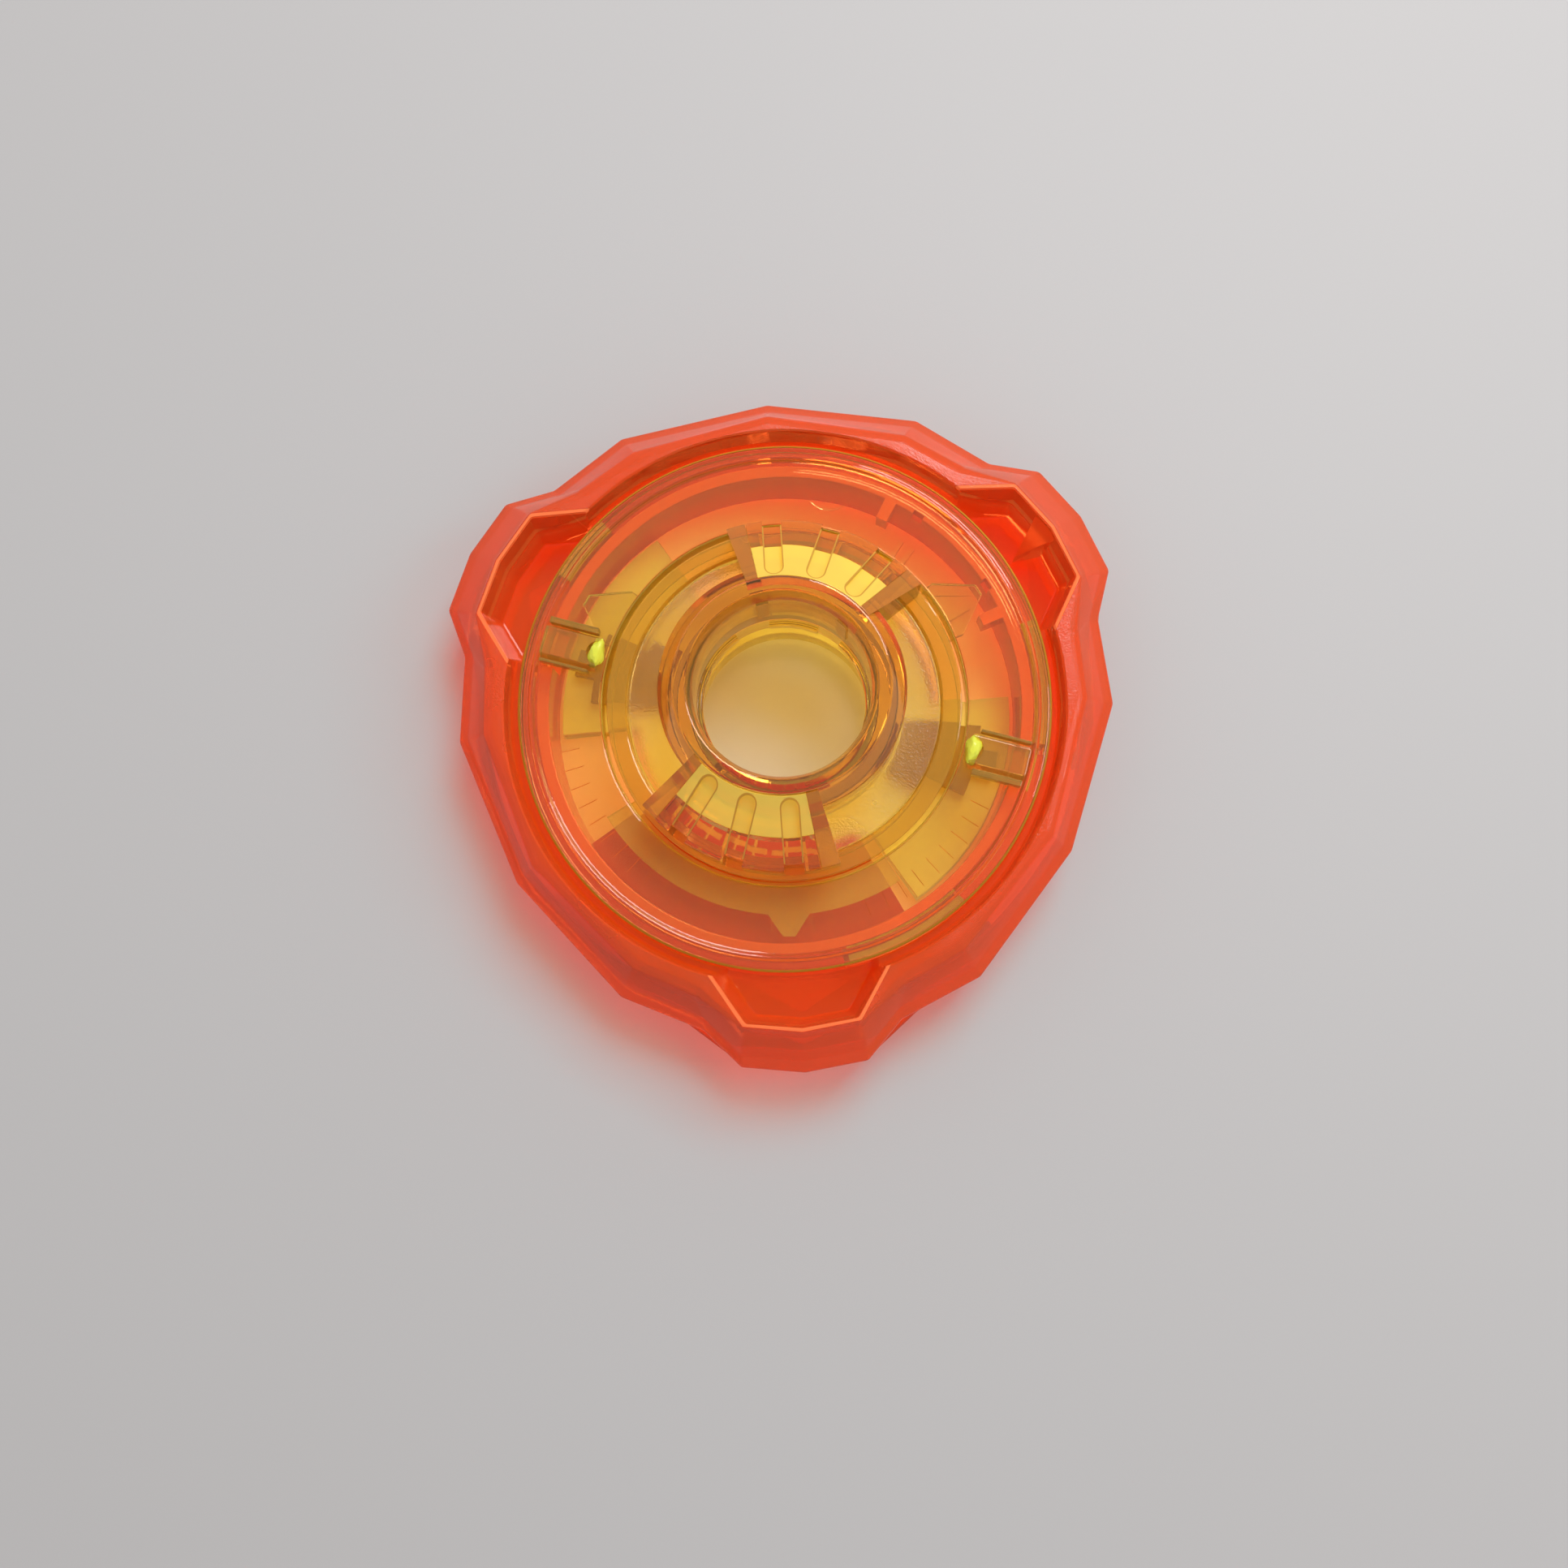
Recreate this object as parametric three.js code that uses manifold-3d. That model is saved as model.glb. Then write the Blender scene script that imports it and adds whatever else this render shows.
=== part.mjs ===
// Three-lobed layer of a modular spinning top, lying on its decorative face with its
// underside up. Millimetres, +Z up, spin axis on Z, z = 0 at the decorative face.
import * as THREE from 'three';
import { mergeVertices } from 'three/addons/utils/BufferGeometryUtils.js';
import Module from 'manifold-3d';

const wasm = await Module();
wasm.setup();

// ---- Driving dimensions ----------------------------------------------------------

const LOBES = [33, 153, 273];          // directions of the three lobes, degrees
const TIP_R = 24.0;                    // lobe tip, so the tip circle is 48 mm across
const TIP_CORNER_R = 23.8;             // corners 10 degrees each side of a tip
const SHOULDER_R = 21.9;               // flat stretch between lobe and scallop
const CUSP_R = 21.2;                   // cusp halfway between two lobes

const FACE_TOP = 3.0;                  // height of the decorative cover
const RING_BASE = 3.05;                // the blade ring stands on the cover
const WIDEST_Z = 5.45;                 // top of the ring's widest band
const RIM_Z = 8.2;                     // flat rim, the highest face of the ring
const RIM_INNER_R = 18.33;
const RIM_OUTER_R = 19.5;
const POCKET_EDGE_R = 20.95;           // outer edge of the pocket in each lobe
const POCKET_FLOOR_Z = 3.7;
const GROOVE_INNER_R = 17.62;
const GROOVE_WALL_R = 18.2;
const GROOVE_FLOOR_Z = 6.2;
const POCKET_DRAFT = 0.86;             // size of a pocket's floor against its mouth
const WEB_TIP_R = 18.75;               // inner end of the first pocket's web
const WEB_TIP_Z = 5.1;
const RING_INNER_R = 16.65;
const SLITS = [[133, 150], [283, 313], [350, 380]];   // slits round the ring's floor, degrees

const PLATE_Z = 7.6;                   // upper face of the under plate
const PLATE_BASE = 6.15;
const PLATE_INNER_R = 11.95;
const PLATE_OUTER_R = 17.53;
const LEG_BASE = 3.3;                  // clip legs that reach down into the ring's slits
const LEG_R = [16.8, 17.4];
const BEAD_R = 16.6;                   // thin raised bead round the plate's rim
const RIB_ANGLES = [165, 345];
const RIB_WIDTH = 2.4;
const RIB_HEIGHT = 1.1;
const RIB_FROM_R = 12.5;
const RIB_TO_R = 16.3;
const RIB_NOTCH_R = 0.75;              // round notch at a rib's inner end
const STUB_R = 0.5;                    // lump left by the mould's gate

const WALL_INNER_R = 15.65;            // upright wall that carries the plate
const WALL_OUTER_R = 16.45;
const WALL_BASE = 1.35;
const WALL_TOP = 6.1;
const DECK_BASE = 4.2;                 // ledge under the dial's flange
const DECK_TOP = 5.0;
const DECK_INNER_R = 12.2;
const DECK_SPAN = [215, 300];
const DETENT_WIDTH = 0.8;
const COMB_BASE = 2.6;                 // slotted comb that reaches in under the dial
const COMB_TOP = 3.1;
const COMB_INNER_R = 9.35;
const COMB_TIP_R = [8.4, 8.95];        // the comb's separate inner row
const COMB_GAPS = [-25, -16.5, -4.5, 3.5, 16.5, 24.2];
const STOP_R = 14.3;                   // stops that end the dial's turn
const STOP_REACH = 7.6;                // from a setting to its stop, degrees
const DIAL_TURN = 24;                  // from the first setting to the second, degrees
const MARK_ANGLES = [31, 31 + DIAL_TURN];
const MARK_STROKES = [1, 2];           // one tick for the first, two for the second
const MARK_SPREAD = 3.6;               // angle between two ticks

const DIAL_R = 11.65;                  // collar of the mode dial
const COLLAR_INNER_R = 10.27;
const COLLAR_BASE = 3.4;
const FLOOR_Z = 7.4;
const FLOOR_BASE = 6.3;
const TUBE_R = 7.82;
const TUBE_SHOULDER_Z = 12.6;
const TUBE_TOP = 14.1;
const TUBE_TOP_R = 6.8;
const BORE_MOUTH_R = 5.92;
const BORE_R = 5.59;
const BORE_LIP_R = 5.36;
const LIP_Z = 6.9;

const ARC_ANGLES = [73.5, 253.5];      // middles of the two toothed arcs
const ARC_HALF = 35;                   // half angle of an arc's upper face, degrees
const ARC_R = 11.34;
const ARC_EDGE_Z = 11.1;               // upper face at the outer edge
const ARC_ROOT_Z = 13.9;               // upper face at the tube
const SLOT_STEP = 20;                  // angle between the slots of an arc, degrees
const SLOT_WIDTH = 1.25;
const SLOT_DEPTH = 0.3;
const SLOT_ROOT_R = 7.0;
const CELL_INNER_R = 8.3;              // hollows under an arc's sloping roof
const ROOF = 1.15;                     // height of the roof over a hollow
const CELL_SPANS = [[-28.5, -25.6], [-24.4, -5.1], [-3.9, 23.6], [24.8, 28.5]];

const FLANGE_BASE = 5.2;
const FLANGE_TOP = 5.95;
const FLANGE_R = 13.8;
const FLANGE_SPAN = [212, 303];
const POINTER_R = 15.2;
const POINTERS = [31, 151, 271];

const CORE_BASE = 0.35;
const CORE_TOP = 2.35;
const BOSS_TOP = 3.1;                  // stepped bosses under the plate's ribs
const CORE_BORE_R = 5.9;
const CORE_RING_R = 10.0;
const WING_ANGLES = [155, 335];        // wings that fill the cover's two windows
const WING_HALF = 29.5;
const WING_R = 15.3;
const COVER_FLOOR = 1.2;
const COVER_RING_R = 10.4;
const COVER_WALL_Z = 2.1;              // where the cover's bevelled edge meets its wall
const WINDOW_HALF = 30;                // half angle of a window in the cover
const WINDOW_R = 15.45;
const FACET_DEPTH = 0.5;

const ROUND = 72;                      // segments of a full turn

// ---- Helpers ---------------------------------------------------------------------

const rad = (degrees) => degrees * Math.PI / 180;

const at = (r, degrees) => new THREE.Vector2(r * Math.cos(rad(degrees)), r * Math.sin(rad(degrees)));

// A three.js geometry as a solid that can be cut and joined.
function solid(geometry) {
  const bare = geometry.clone();
  bare.deleteAttribute('normal');
  bare.deleteAttribute('uv');
  const merged = mergeVertices(bare, 1e-5);
  return new wasm.Manifold(new wasm.Mesh({
    numProp: 3,
    vertProperties: new Float32Array(merged.attributes.position.array),
    triVerts: new Uint32Array(merged.index.array),
  }));
}

// A solid back as a three.js geometry.
function geometryOf(body) {
  const mesh = body.getMesh();
  const geometry = new THREE.BufferGeometry();
  geometry.setAttribute('position', new THREE.BufferAttribute(mesh.vertProperties, 3));
  geometry.setIndex(new THREE.BufferAttribute(mesh.triVerts, 1));
  geometry.computeVertexNormals();
  return geometry;
}

function namedMesh(name, body, colour, roughness) {
  const material = new THREE.MeshStandardMaterial({ color: colour, roughness, metalness: 0 });
  const mesh = new THREE.Mesh(geometryOf(body), material);
  mesh.name = name;
  return mesh;
}

// A ring turned about Z from a closed profile of [radius, height] pairs.
function turned(profile, segments = ROUND) {
  const points = [...profile, profile[0]].map(([r, z]) => new THREE.Vector2(r, z));
  const lathe = new THREE.LatheGeometry(points, segments);
  lathe.rotateX(Math.PI / 2);
  const body = solid(lathe);
  return body.volume() > 0 ? body : solid(flipped(lathe));
}

// The same geometry with its faces turned over.
function flipped(geometry) {
  const turnedOver = geometry.clone();
  const index = turnedOver.index.array;
  for (let i = 0; i < index.length; i += 3) {
    [index[i], index[i + 1]] = [index[i + 1], index[i]];
  }
  return turnedOver;
}

// An upright prism over a polygon of Vector2 points.
function prism(points, z0, z1) {
  const shape = new THREE.Shape(points);
  const geometry = new THREE.ExtrudeGeometry(shape, { depth: z1 - z0, bevelEnabled: false });
  geometry.translate(0, 0, z0);
  return solid(geometry);
}

// A sector of a flat ring between two radii and two angles.
function sector(r0, r1, a0, a1, z0, z1) {
  const shape = new THREE.Shape();
  shape.absarc(0, 0, r1, rad(a0), rad(a1), false);
  shape.absarc(0, 0, r0, rad(a1), rad(a0), true);
  const curveSegments = Math.max(2, Math.ceil((a1 - a0) / 360 * ROUND));
  const settings = { depth: z1 - z0, bevelEnabled: false, curveSegments };
  const geometry = new THREE.ExtrudeGeometry(shape, settings);
  geometry.translate(0, 0, z0);
  return solid(geometry);
}

// A straight bar that points outwards, with a narrower top when draft is above zero.
function radialBar(r0, r1, width, angle, z0, z1, draft = 0) {
  const box = new THREE.BoxGeometry(r1 - r0, width, z1 - z0);
  const p = box.attributes.position;
  for (let i = 0; i < p.count; i += 1) {
    const upper = p.getZ(i) > 0;
    p.setY(i, Math.sign(p.getY(i)) * (width / 2 - (upper ? draft : 0)));
  }
  box.translate((r0 + r1) / 2, 0, (z0 + z1) / 2);
  box.rotateZ(rad(angle));
  return solid(box);
}

// A solid through a stack of star-shaped outlines, each a height and a ring of points.
function loft(levels) {
  const sides = levels[0].points.length;
  const shell = new THREE.CylinderGeometry(1, 1, 1, sides, levels.length - 1);
  shell.rotateX(Math.PI / 2);
  const p = shell.attributes.position;
  for (let i = 0; i < p.count; i += 1) {
    const level = levels[Math.round((p.getZ(i) + 0.5) * (levels.length - 1))];
    const onAxis = Math.hypot(p.getX(i), p.getY(i)) < 0.5;
    const turn = Math.atan2(p.getY(i), p.getX(i)) / (2 * Math.PI);
    const point = level.points[(Math.round(turn * sides) + 2 * sides) % sides];
    p.setXYZ(i, onAxis ? 0 : point.x, onAxis ? 0 : point.y, level.z);
  }
  return solid(shell);
}

const joinAll = (bodies) => bodies.reduce((sum, body) => sum.add(body));

const cutAll = (body, cutters) => cutters.reduce((rest, cutter) => rest.subtract(cutter), body);

// ---- Outlines --------------------------------------------------------------------

// The eight corners of one third of the outline, as [angle from the lobe, radius].
function outline(tip, tipCorner, flank, flankAngle, shoulder, cusp) {
  const third = [
    [-32.5, shoulder], [-flankAngle, flank], [-10, tipCorner], [0, tip],
    [10, tipCorner], [flankAngle, flank], [32.5, shoulder], [60, cusp],
  ];
  return LOBES.flatMap((lobe) => third.map(([angle, r]) => at(r, lobe + angle)));
}

// The decorative cover's outline, drawn in all round by the same distance.
function inset(by) {
  const shoulder = SHOULDER_R - by;
  return outline(TIP_R - by, TIP_CORNER_R - by, shoulder, 20.5, shoulder, CUSP_R - by);
}

// ---- Blade ring: the outer orange moulding -----------------------------------------

function pocket(lobe) {
  const upper = [
    [-18, 18.3], [-10, POCKET_EDGE_R], [0, POCKET_EDGE_R + 0.15], [10, POCKET_EDGE_R], [18, 18.3],
  ];
  const points = upper.map(([angle, r]) => at(r, lobe + angle));
  points.push(at(17.0, lobe + 18), at(16.8, lobe), at(17.0, lobe - 18));
  const geometry = new THREE.ExtrudeGeometry(new THREE.Shape(points), {
    depth: RIM_Z + 0.2 - POCKET_FLOOR_Z, bevelEnabled: false,
  });
  const p = geometry.attributes.position;
  const middle = at(17.6, lobe);
  for (let i = 0; i < p.count; i += 1) {
    if (p.getZ(i) < 0.01) {
      p.setX(i, middle.x + (p.getX(i) - middle.x) * POCKET_DRAFT);
      p.setY(i, middle.y + (p.getY(i) - middle.y) * POCKET_DRAFT);
    }
  }
  geometry.translate(0, 0, POCKET_FLOOR_Z);
  return solid(geometry);
}

// The wedge-shaped web that stiffens the first lobe's pocket.
function pocketWeb(lobe) {
  const shape = new THREE.Shape([at(21.3, lobe + 4.2), at(WEB_TIP_R, lobe + 0.6), at(21.3, lobe - 2.2)]);
  const base = POCKET_FLOOR_Z - 0.2;
  const geometry = new THREE.ExtrudeGeometry(shape, { depth: RIM_Z - 0.2 - base, bevelEnabled: false });
  const p = geometry.attributes.position;
  for (let i = 0; i < p.count; i += 1) {
    const nearTip = Math.hypot(p.getX(i), p.getY(i)) < WEB_TIP_R + 0.2;
    if (nearTip && p.getZ(i) > 1) p.setZ(i, WEB_TIP_Z - base);
  }
  geometry.translate(0, 0, base);
  return solid(geometry);
}

function bladeRing() {
  const wide = outline(TIP_R, TIP_CORNER_R, SHOULDER_R, 17.2, SHOULDER_R, CUSP_R);
  const rim = outline(21.35, 21.2, RIM_OUTER_R - 0.05, 20, RIM_OUTER_R, 19.15);
  const body = loft([
    { z: RING_BASE, points: wide }, { z: WIDEST_Z, points: wide }, { z: RIM_Z, points: rim },
  ]);
  const inside = turned([
    [0.0001, 2], [RING_INNER_R, 2], [RING_INNER_R, POCKET_FLOOR_Z],
    [GROOVE_INNER_R, POCKET_FLOOR_Z], [GROOVE_INNER_R, GROOVE_FLOOR_Z], [GROOVE_WALL_R, GROOVE_FLOOR_Z],
    [RIM_INNER_R, RIM_Z], [RIM_INNER_R, RIM_Z + 1], [0.0001, RIM_Z + 1],
  ]);
  const slits = SLITS.map(([a0, a1]) => sector(16, 17.6, a0, a1, 2, POCKET_FLOOR_Z + 0.2));
  const hollow = cutAll(body, [inside, ...LOBES.map(pocket), ...slits]);
  return hollow.add(pocketWeb(LOBES[0]).intersect(body));
}

// ---- Face cover: the orange decorative face ----------------------------------------

// Raised ticks on the cover's floor, one for the first setting and two for the second.
function settingMarks() {
  return MARK_ANGLES.flatMap((angle, i) => {
    const strokes = MARK_STROKES[i];
    return Array.from({ length: strokes }, (_, k) => {
      const offset = (k - (strokes - 1) / 2) * MARK_SPREAD;
      return radialBar(12.9, 14.9, 0.4, angle + offset, COVER_FLOOR - 0.1, COVER_FLOOR + 0.35);
    });
  });
}

function faceCover() {
  const body = loft([
    { z: 0, points: inset(3.2) }, { z: 0.7, points: inset(2.2) },
    { z: COVER_WALL_Z, points: inset(0) }, { z: FACE_TOP, points: inset(0) },
  ]);
  const inside = turned([
    [COVER_RING_R - 1.2, -1], [COVER_RING_R, COVER_FLOOR], [17.9, COVER_FLOOR],
    [18.3, FACE_TOP + 1], [0.0001, FACE_TOP + 1], [0.0001, -1],
  ]);
  const windows = WING_ANGLES.map((a) => (
    sector(COVER_RING_R, WINDOW_R, a - WINDOW_HALF, a + WINDOW_HALF, -1, COVER_FLOOR + 1)
  ));
  const trough = turned([[16.4, -1], [17.6, -1], [17.3, 0.45], [16.7, 0.45]]);
  const facets = LOBES.map((lobe) => (
    prism([at(18.4, lobe - 11), at(20.2, lobe), at(18.4, lobe + 11)], -1, FACET_DEPTH)
  ));
  const slits = SLITS.map(([a0, a1]) => sector(16.6, 17.5, a0, a1, -1, FACE_TOP));
  return joinAll([cutAll(body, [inside, ...windows, ...slits, trough, ...facets]), ...settingMarks()]);
}

// ---- Face core: the yellow centre of the decorative face ----------------------------

function faceCore() {
  const disc = turned([[CORE_BORE_R, CORE_BASE], [9.0, CORE_BASE], [9.0, COVER_FLOOR + 0.15],
    [CORE_RING_R, COVER_FLOOR + 0.15], [CORE_RING_R, CORE_TOP], [CORE_BORE_R, CORE_TOP]]);
  const wings = WING_ANGLES.flatMap((a) => [
    sector(9.4, WING_R, a - WING_HALF, a + WING_HALF, COVER_FLOOR + 0.15, CORE_TOP),
    sector(10.6, WING_R, a - WING_HALF, a + WING_HALF, CORE_BASE, COVER_FLOOR + 0.3),
  ]);
  const steps = RIB_ANGLES.flatMap((a) => [
    sector(7.9, 10.4, a - 15, a + 12, COVER_FLOOR + 0.5, BOSS_TOP),
    sector(10.3, 13.3, a - 10, a + 11, COVER_FLOOR + 0.5, BOSS_TOP),
    sector(13.2, 14.65, a - 3, a + 4, COVER_FLOOR + 0.5, BOSS_TOP),
  ]);
  return joinAll([disc, ...wings, ...steps]);
}

// ---- Index ring: upright wall, ledge and stops --------------------------------------

// A flat comb under the first arc: an inner row of pads, tied to the plate by thin bars.
function comb() {
  const middle = ARC_ANGLES[1];
  const plate = sector(COMB_INNER_R, WALL_INNER_R + 0.25, ...DECK_SPAN, COMB_BASE, COMB_TOP);
  const row = sector(...COMB_TIP_R, middle - 31, middle + 31, COMB_BASE, COMB_TOP);
  const gaps = COMB_GAPS.map((a) => (
    radialBar(8, 10.2, 0.2, middle + a, COMB_BASE + 0.2, COMB_TOP + 1)
  ));
  const ties = [-31, -10.5, 10, 31].map((a) => (
    radialBar(COMB_TIP_R[0] + 0.1, COMB_INNER_R + 0.3, 0.3, middle + a * 0.97, COMB_BASE, COMB_TOP)
  ));
  return cutAll(joinAll([plate, row, ...ties]), gaps);
}

function indexRing() {
  const wall = turned([
    [WALL_INNER_R, WALL_BASE], [WALL_OUTER_R, WALL_BASE],
    [WALL_OUTER_R, WALL_TOP], [WALL_INNER_R, WALL_TOP],
  ]);
  const intoWall = WALL_INNER_R + 0.25;
  const deck = sector(DECK_INNER_R, intoWall, ...DECK_SPAN, DECK_BASE, DECK_TOP);
  const stopAngles = [MARK_ANGLES[0] - STOP_REACH, MARK_ANGLES[1] + STOP_REACH];
  const stops = stopAngles.map((a) => sector(STOP_R, intoWall, a - 1.5, a + 1.5, DECK_BASE, WALL_TOP));
  const ribGaps = RIB_ANGLES.map((a) => sector(15, 17, a - 5, a + 5, 3.1, 7));
  const detents = MARK_ANGLES.map((a) => (
    radialBar(15.3, intoWall + 0.05, DETENT_WIDTH, a, DECK_TOP + 0.1, 7)
  ));
  return cutAll(joinAll([wall, deck, comb(), ...stops]), [...ribGaps, ...detents]);
}

// ---- Under plate: the fixed yellow annulus ------------------------------------------

function plateRib(angle) {
  const bar = radialBar(RIB_FROM_R, RIB_TO_R, RIB_WIDTH, angle, PLATE_Z - 0.4, PLATE_Z + RIB_HEIGHT, 0.3);
  const notch = new THREE.CylinderGeometry(RIB_NOTCH_R, RIB_NOTCH_R, RIB_HEIGHT + 0.4, 20);
  notch.rotateX(Math.PI / 2);
  notch.translate(RIB_FROM_R + 0.05, 0, PLATE_Z + 0.45 + RIB_HEIGHT / 2);
  notch.rotateZ(rad(angle));
  return bar.subtract(solid(notch));
}

function gateStub(angle) {
  const dome = new THREE.SphereGeometry(STUB_R, 14, 8);
  dome.scale(1, 1, 1.4);
  dome.translate(RIB_FROM_R + 0.15, 0, PLATE_Z + 0.1);
  dome.rotateZ(rad(angle));
  return solid(dome);
}

function underPlate() {
  const disc = turned([
    [PLATE_INNER_R, PLATE_BASE], [PLATE_OUTER_R, PLATE_BASE], [PLATE_OUTER_R, PLATE_Z - 0.2],
    [PLATE_OUTER_R - 0.2, PLATE_Z], [BEAD_R + 0.22, PLATE_Z], [BEAD_R + 0.1, PLATE_Z + 0.22],
    [BEAD_R - 0.1, PLATE_Z + 0.22], [BEAD_R - 0.22, PLATE_Z], [PLATE_INNER_R, PLATE_Z],
  ]);
  const legs = SLITS.map(([a0, a1]) => sector(...LEG_R, a0 + 1, a1 - 1, LEG_BASE, PLATE_BASE + 0.2));
  return joinAll([disc, ...legs, ...RIB_ANGLES.map(plateRib), ...RIB_ANGLES.map(gateStub)]);
}

// ---- Mode dial: tube, toothed arcs, collar and pointers ------------------------------

function dialBody() {
  return turned([
    [BORE_LIP_R, 6.1], [BORE_LIP_R, LIP_Z], [BORE_R, LIP_Z + 0.1], [BORE_R, 12.9],
    [BORE_MOUTH_R, TUBE_TOP],
    [TUBE_TOP_R, TUBE_TOP], [TUBE_R, TUBE_SHOULDER_Z], [TUBE_R, FLOOR_Z], [COLLAR_INNER_R, FLOOR_Z],
    [COLLAR_INNER_R + 0.15, PLATE_Z], [DIAL_R, PLATE_Z], [DIAL_R, COLLAR_BASE], [10.5, COLLAR_BASE],
    [COLLAR_INNER_R, FLOOR_BASE], [7.2, FLOOR_BASE], [7.0, 4.6], [6.2, 4.6],
  ]);
}

// The solid block of one arc, its upper face falling from the tube to the outer edge.
function arcBlock(angle) {
  const cone = turned([
    [6.9, FLOOR_Z - 0.3], [ARC_R, FLOOR_Z - 0.3], [ARC_R, ARC_EDGE_Z - 0.15], [ARC_R - 0.15, ARC_EDGE_Z],
    [TUBE_TOP_R + 0.1, ARC_ROOT_Z], [6.9, ARC_ROOT_Z - 0.1],
  ]);
  const corners = [-1, 1].flatMap((side) => {
    const edge = angle + side * ARC_HALF;
    return side < 0 ? [at(4, edge), at(14, edge)] : [at(14, angle), at(14, edge), at(4, edge)];
  });
  const wedge = prism(corners, 0, 20);
  return cone.intersect(wedge);
}

// The hollows under an arc's roof, open downwards, with thin webs between them.
function arcCells(angle) {
  const slope = (ARC_ROOT_Z - ARC_EDGE_Z) / (ARC_R - TUBE_TOP_R);
  const roofAt = (r) => ARC_ROOT_Z - ROOF - slope * (r - TUBE_TOP_R);
  const ring = turned([
    [CELL_INNER_R, 5], [COLLAR_INNER_R, 5],
    [COLLAR_INNER_R, roofAt(COLLAR_INNER_R)], [CELL_INNER_R, roofAt(CELL_INNER_R)],
  ]);
  const spans = CELL_SPANS.map(([from, to]) => sector(4, 14, angle + from, angle + to, 0, 20));
  return ring.intersect(joinAll(spans));
}

// A slot with a round inner end, sunk into an arc's sloping face and open outwards.
function slot(angle) {
  const half = SLOT_WIDTH / 2;
  const shape = new THREE.Shape();
  shape.moveTo(14, -half);
  shape.lineTo(14, half);
  shape.lineTo(SLOT_ROOT_R + half, half);
  shape.absarc(SLOT_ROOT_R + half, 0, half, Math.PI / 2, Math.PI * 1.5, false);
  const geometry = new THREE.ExtrudeGeometry(shape, { depth: 4, bevelEnabled: false, curveSegments: 8 });
  const slope = (ARC_ROOT_Z - ARC_EDGE_Z) / (ARC_R - TUBE_TOP_R);
  const p = geometry.attributes.position;
  for (let i = 0; i < p.count; i += 1) {
    const face = ARC_ROOT_Z - slope * (p.getX(i) - TUBE_TOP_R);
    p.setZ(i, p.getZ(i) + face - SLOT_DEPTH);
  }
  geometry.rotateZ(rad(angle));
  return solid(geometry);
}

function toothedArc(angle) {
  const slotAngles = [-1, 0, 1].map((k) => angle + k * SLOT_STEP);
  const notches = slotAngles.map((a) => radialBar(ARC_R - 0.45, 13, SLOT_WIDTH, a, PLATE_Z + 0.4, 14));
  return cutAll(arcBlock(angle), [...slotAngles.map(slot), ...notches]);
}

function pointer(angle) {
  const points = [at(11.4, angle - 9), at(12.9, angle - 9), at(POINTER_R, angle - 1.5),
    at(POINTER_R, angle + 1.5), at(12.9, angle + 9), at(11.4, angle + 9)];
  return prism(points, FLANGE_BASE, FLANGE_TOP);
}

function modeDial() {
  const flange = sector(11.3, FLANGE_R, ...FLANGE_SPAN, FLANGE_BASE, FLANGE_TOP);
  const whole = joinAll([
    dialBody(), ...ARC_ANGLES.map(toothedArc), flange, ...POINTERS.map(pointer),
  ]);
  const lipFlats = [[100, 124], [48, 66]].map(([a0, a1]) => sector(5.0, BORE_R, a0, a1, 5.5, LIP_Z + 0.2));
  return cutAll(whole, [...ARC_ANGLES.map(arcCells), ...lipFlats]);
}

// ---- Assembly --------------------------------------------------------------------

const ORANGE = 0xe84a22;
const YELLOW = 0xd8a62a;

const group = new THREE.Group();
group.add(namedMesh('face_cover', faceCover(), ORANGE, 0.15));
group.add(namedMesh('face_core', faceCore(), YELLOW, 0.15));
group.add(namedMesh('index_ring', indexRing(), ORANGE, 0.2));
group.add(namedMesh('blade_ring', bladeRing(), ORANGE, 0.15));
group.add(namedMesh('under_plate', underPlate(), YELLOW, 0.12));
group.add(namedMesh('mode_dial', modeDial(), YELLOW, 0.12));

export default group;
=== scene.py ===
"""The layer of a modular spinning top in clear orange and yellow, lying on its decorative face."""

import math

import bmesh
import bpy
from mathutils import Matrix, Vector


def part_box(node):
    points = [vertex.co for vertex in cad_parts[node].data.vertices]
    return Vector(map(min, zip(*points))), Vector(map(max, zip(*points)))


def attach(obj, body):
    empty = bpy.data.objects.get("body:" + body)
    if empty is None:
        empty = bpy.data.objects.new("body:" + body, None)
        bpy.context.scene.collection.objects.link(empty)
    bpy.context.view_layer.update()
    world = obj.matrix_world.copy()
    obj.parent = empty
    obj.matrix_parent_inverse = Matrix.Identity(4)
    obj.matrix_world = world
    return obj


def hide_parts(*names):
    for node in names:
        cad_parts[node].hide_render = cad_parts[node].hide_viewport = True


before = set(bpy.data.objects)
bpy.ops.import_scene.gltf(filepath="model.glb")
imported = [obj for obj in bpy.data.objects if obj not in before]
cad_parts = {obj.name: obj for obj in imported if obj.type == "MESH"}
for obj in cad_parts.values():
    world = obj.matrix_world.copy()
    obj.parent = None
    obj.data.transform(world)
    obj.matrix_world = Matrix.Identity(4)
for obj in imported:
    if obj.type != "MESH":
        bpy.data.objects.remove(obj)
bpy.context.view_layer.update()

MM = 0.001


# ---- Sizes from the frame, in millimetres -------------------------------------------

def box_mm(node):
    low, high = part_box(node)
    return low / MM, high / MM


COVER_HIGH = box_mm("face_cover")[1]
CORE_LOW, CORE_HIGH = box_mm("face_core")
INDEX_LOW, INDEX_HIGH = box_mm("index_ring")
RING_LOW, RING_HIGH = box_mm("blade_ring")
PLATE_HIGH = box_mm("under_plate")[1]
DIAL_LOW, DIAL_HIGH = box_mm("mode_dial")

# Clearances between the visual pieces of one moulding, and how finely rounds are cut.
GAP = 0.03
HAIR = 0.02
ROUND = 180
SHARP_ANGLE = 8

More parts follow.
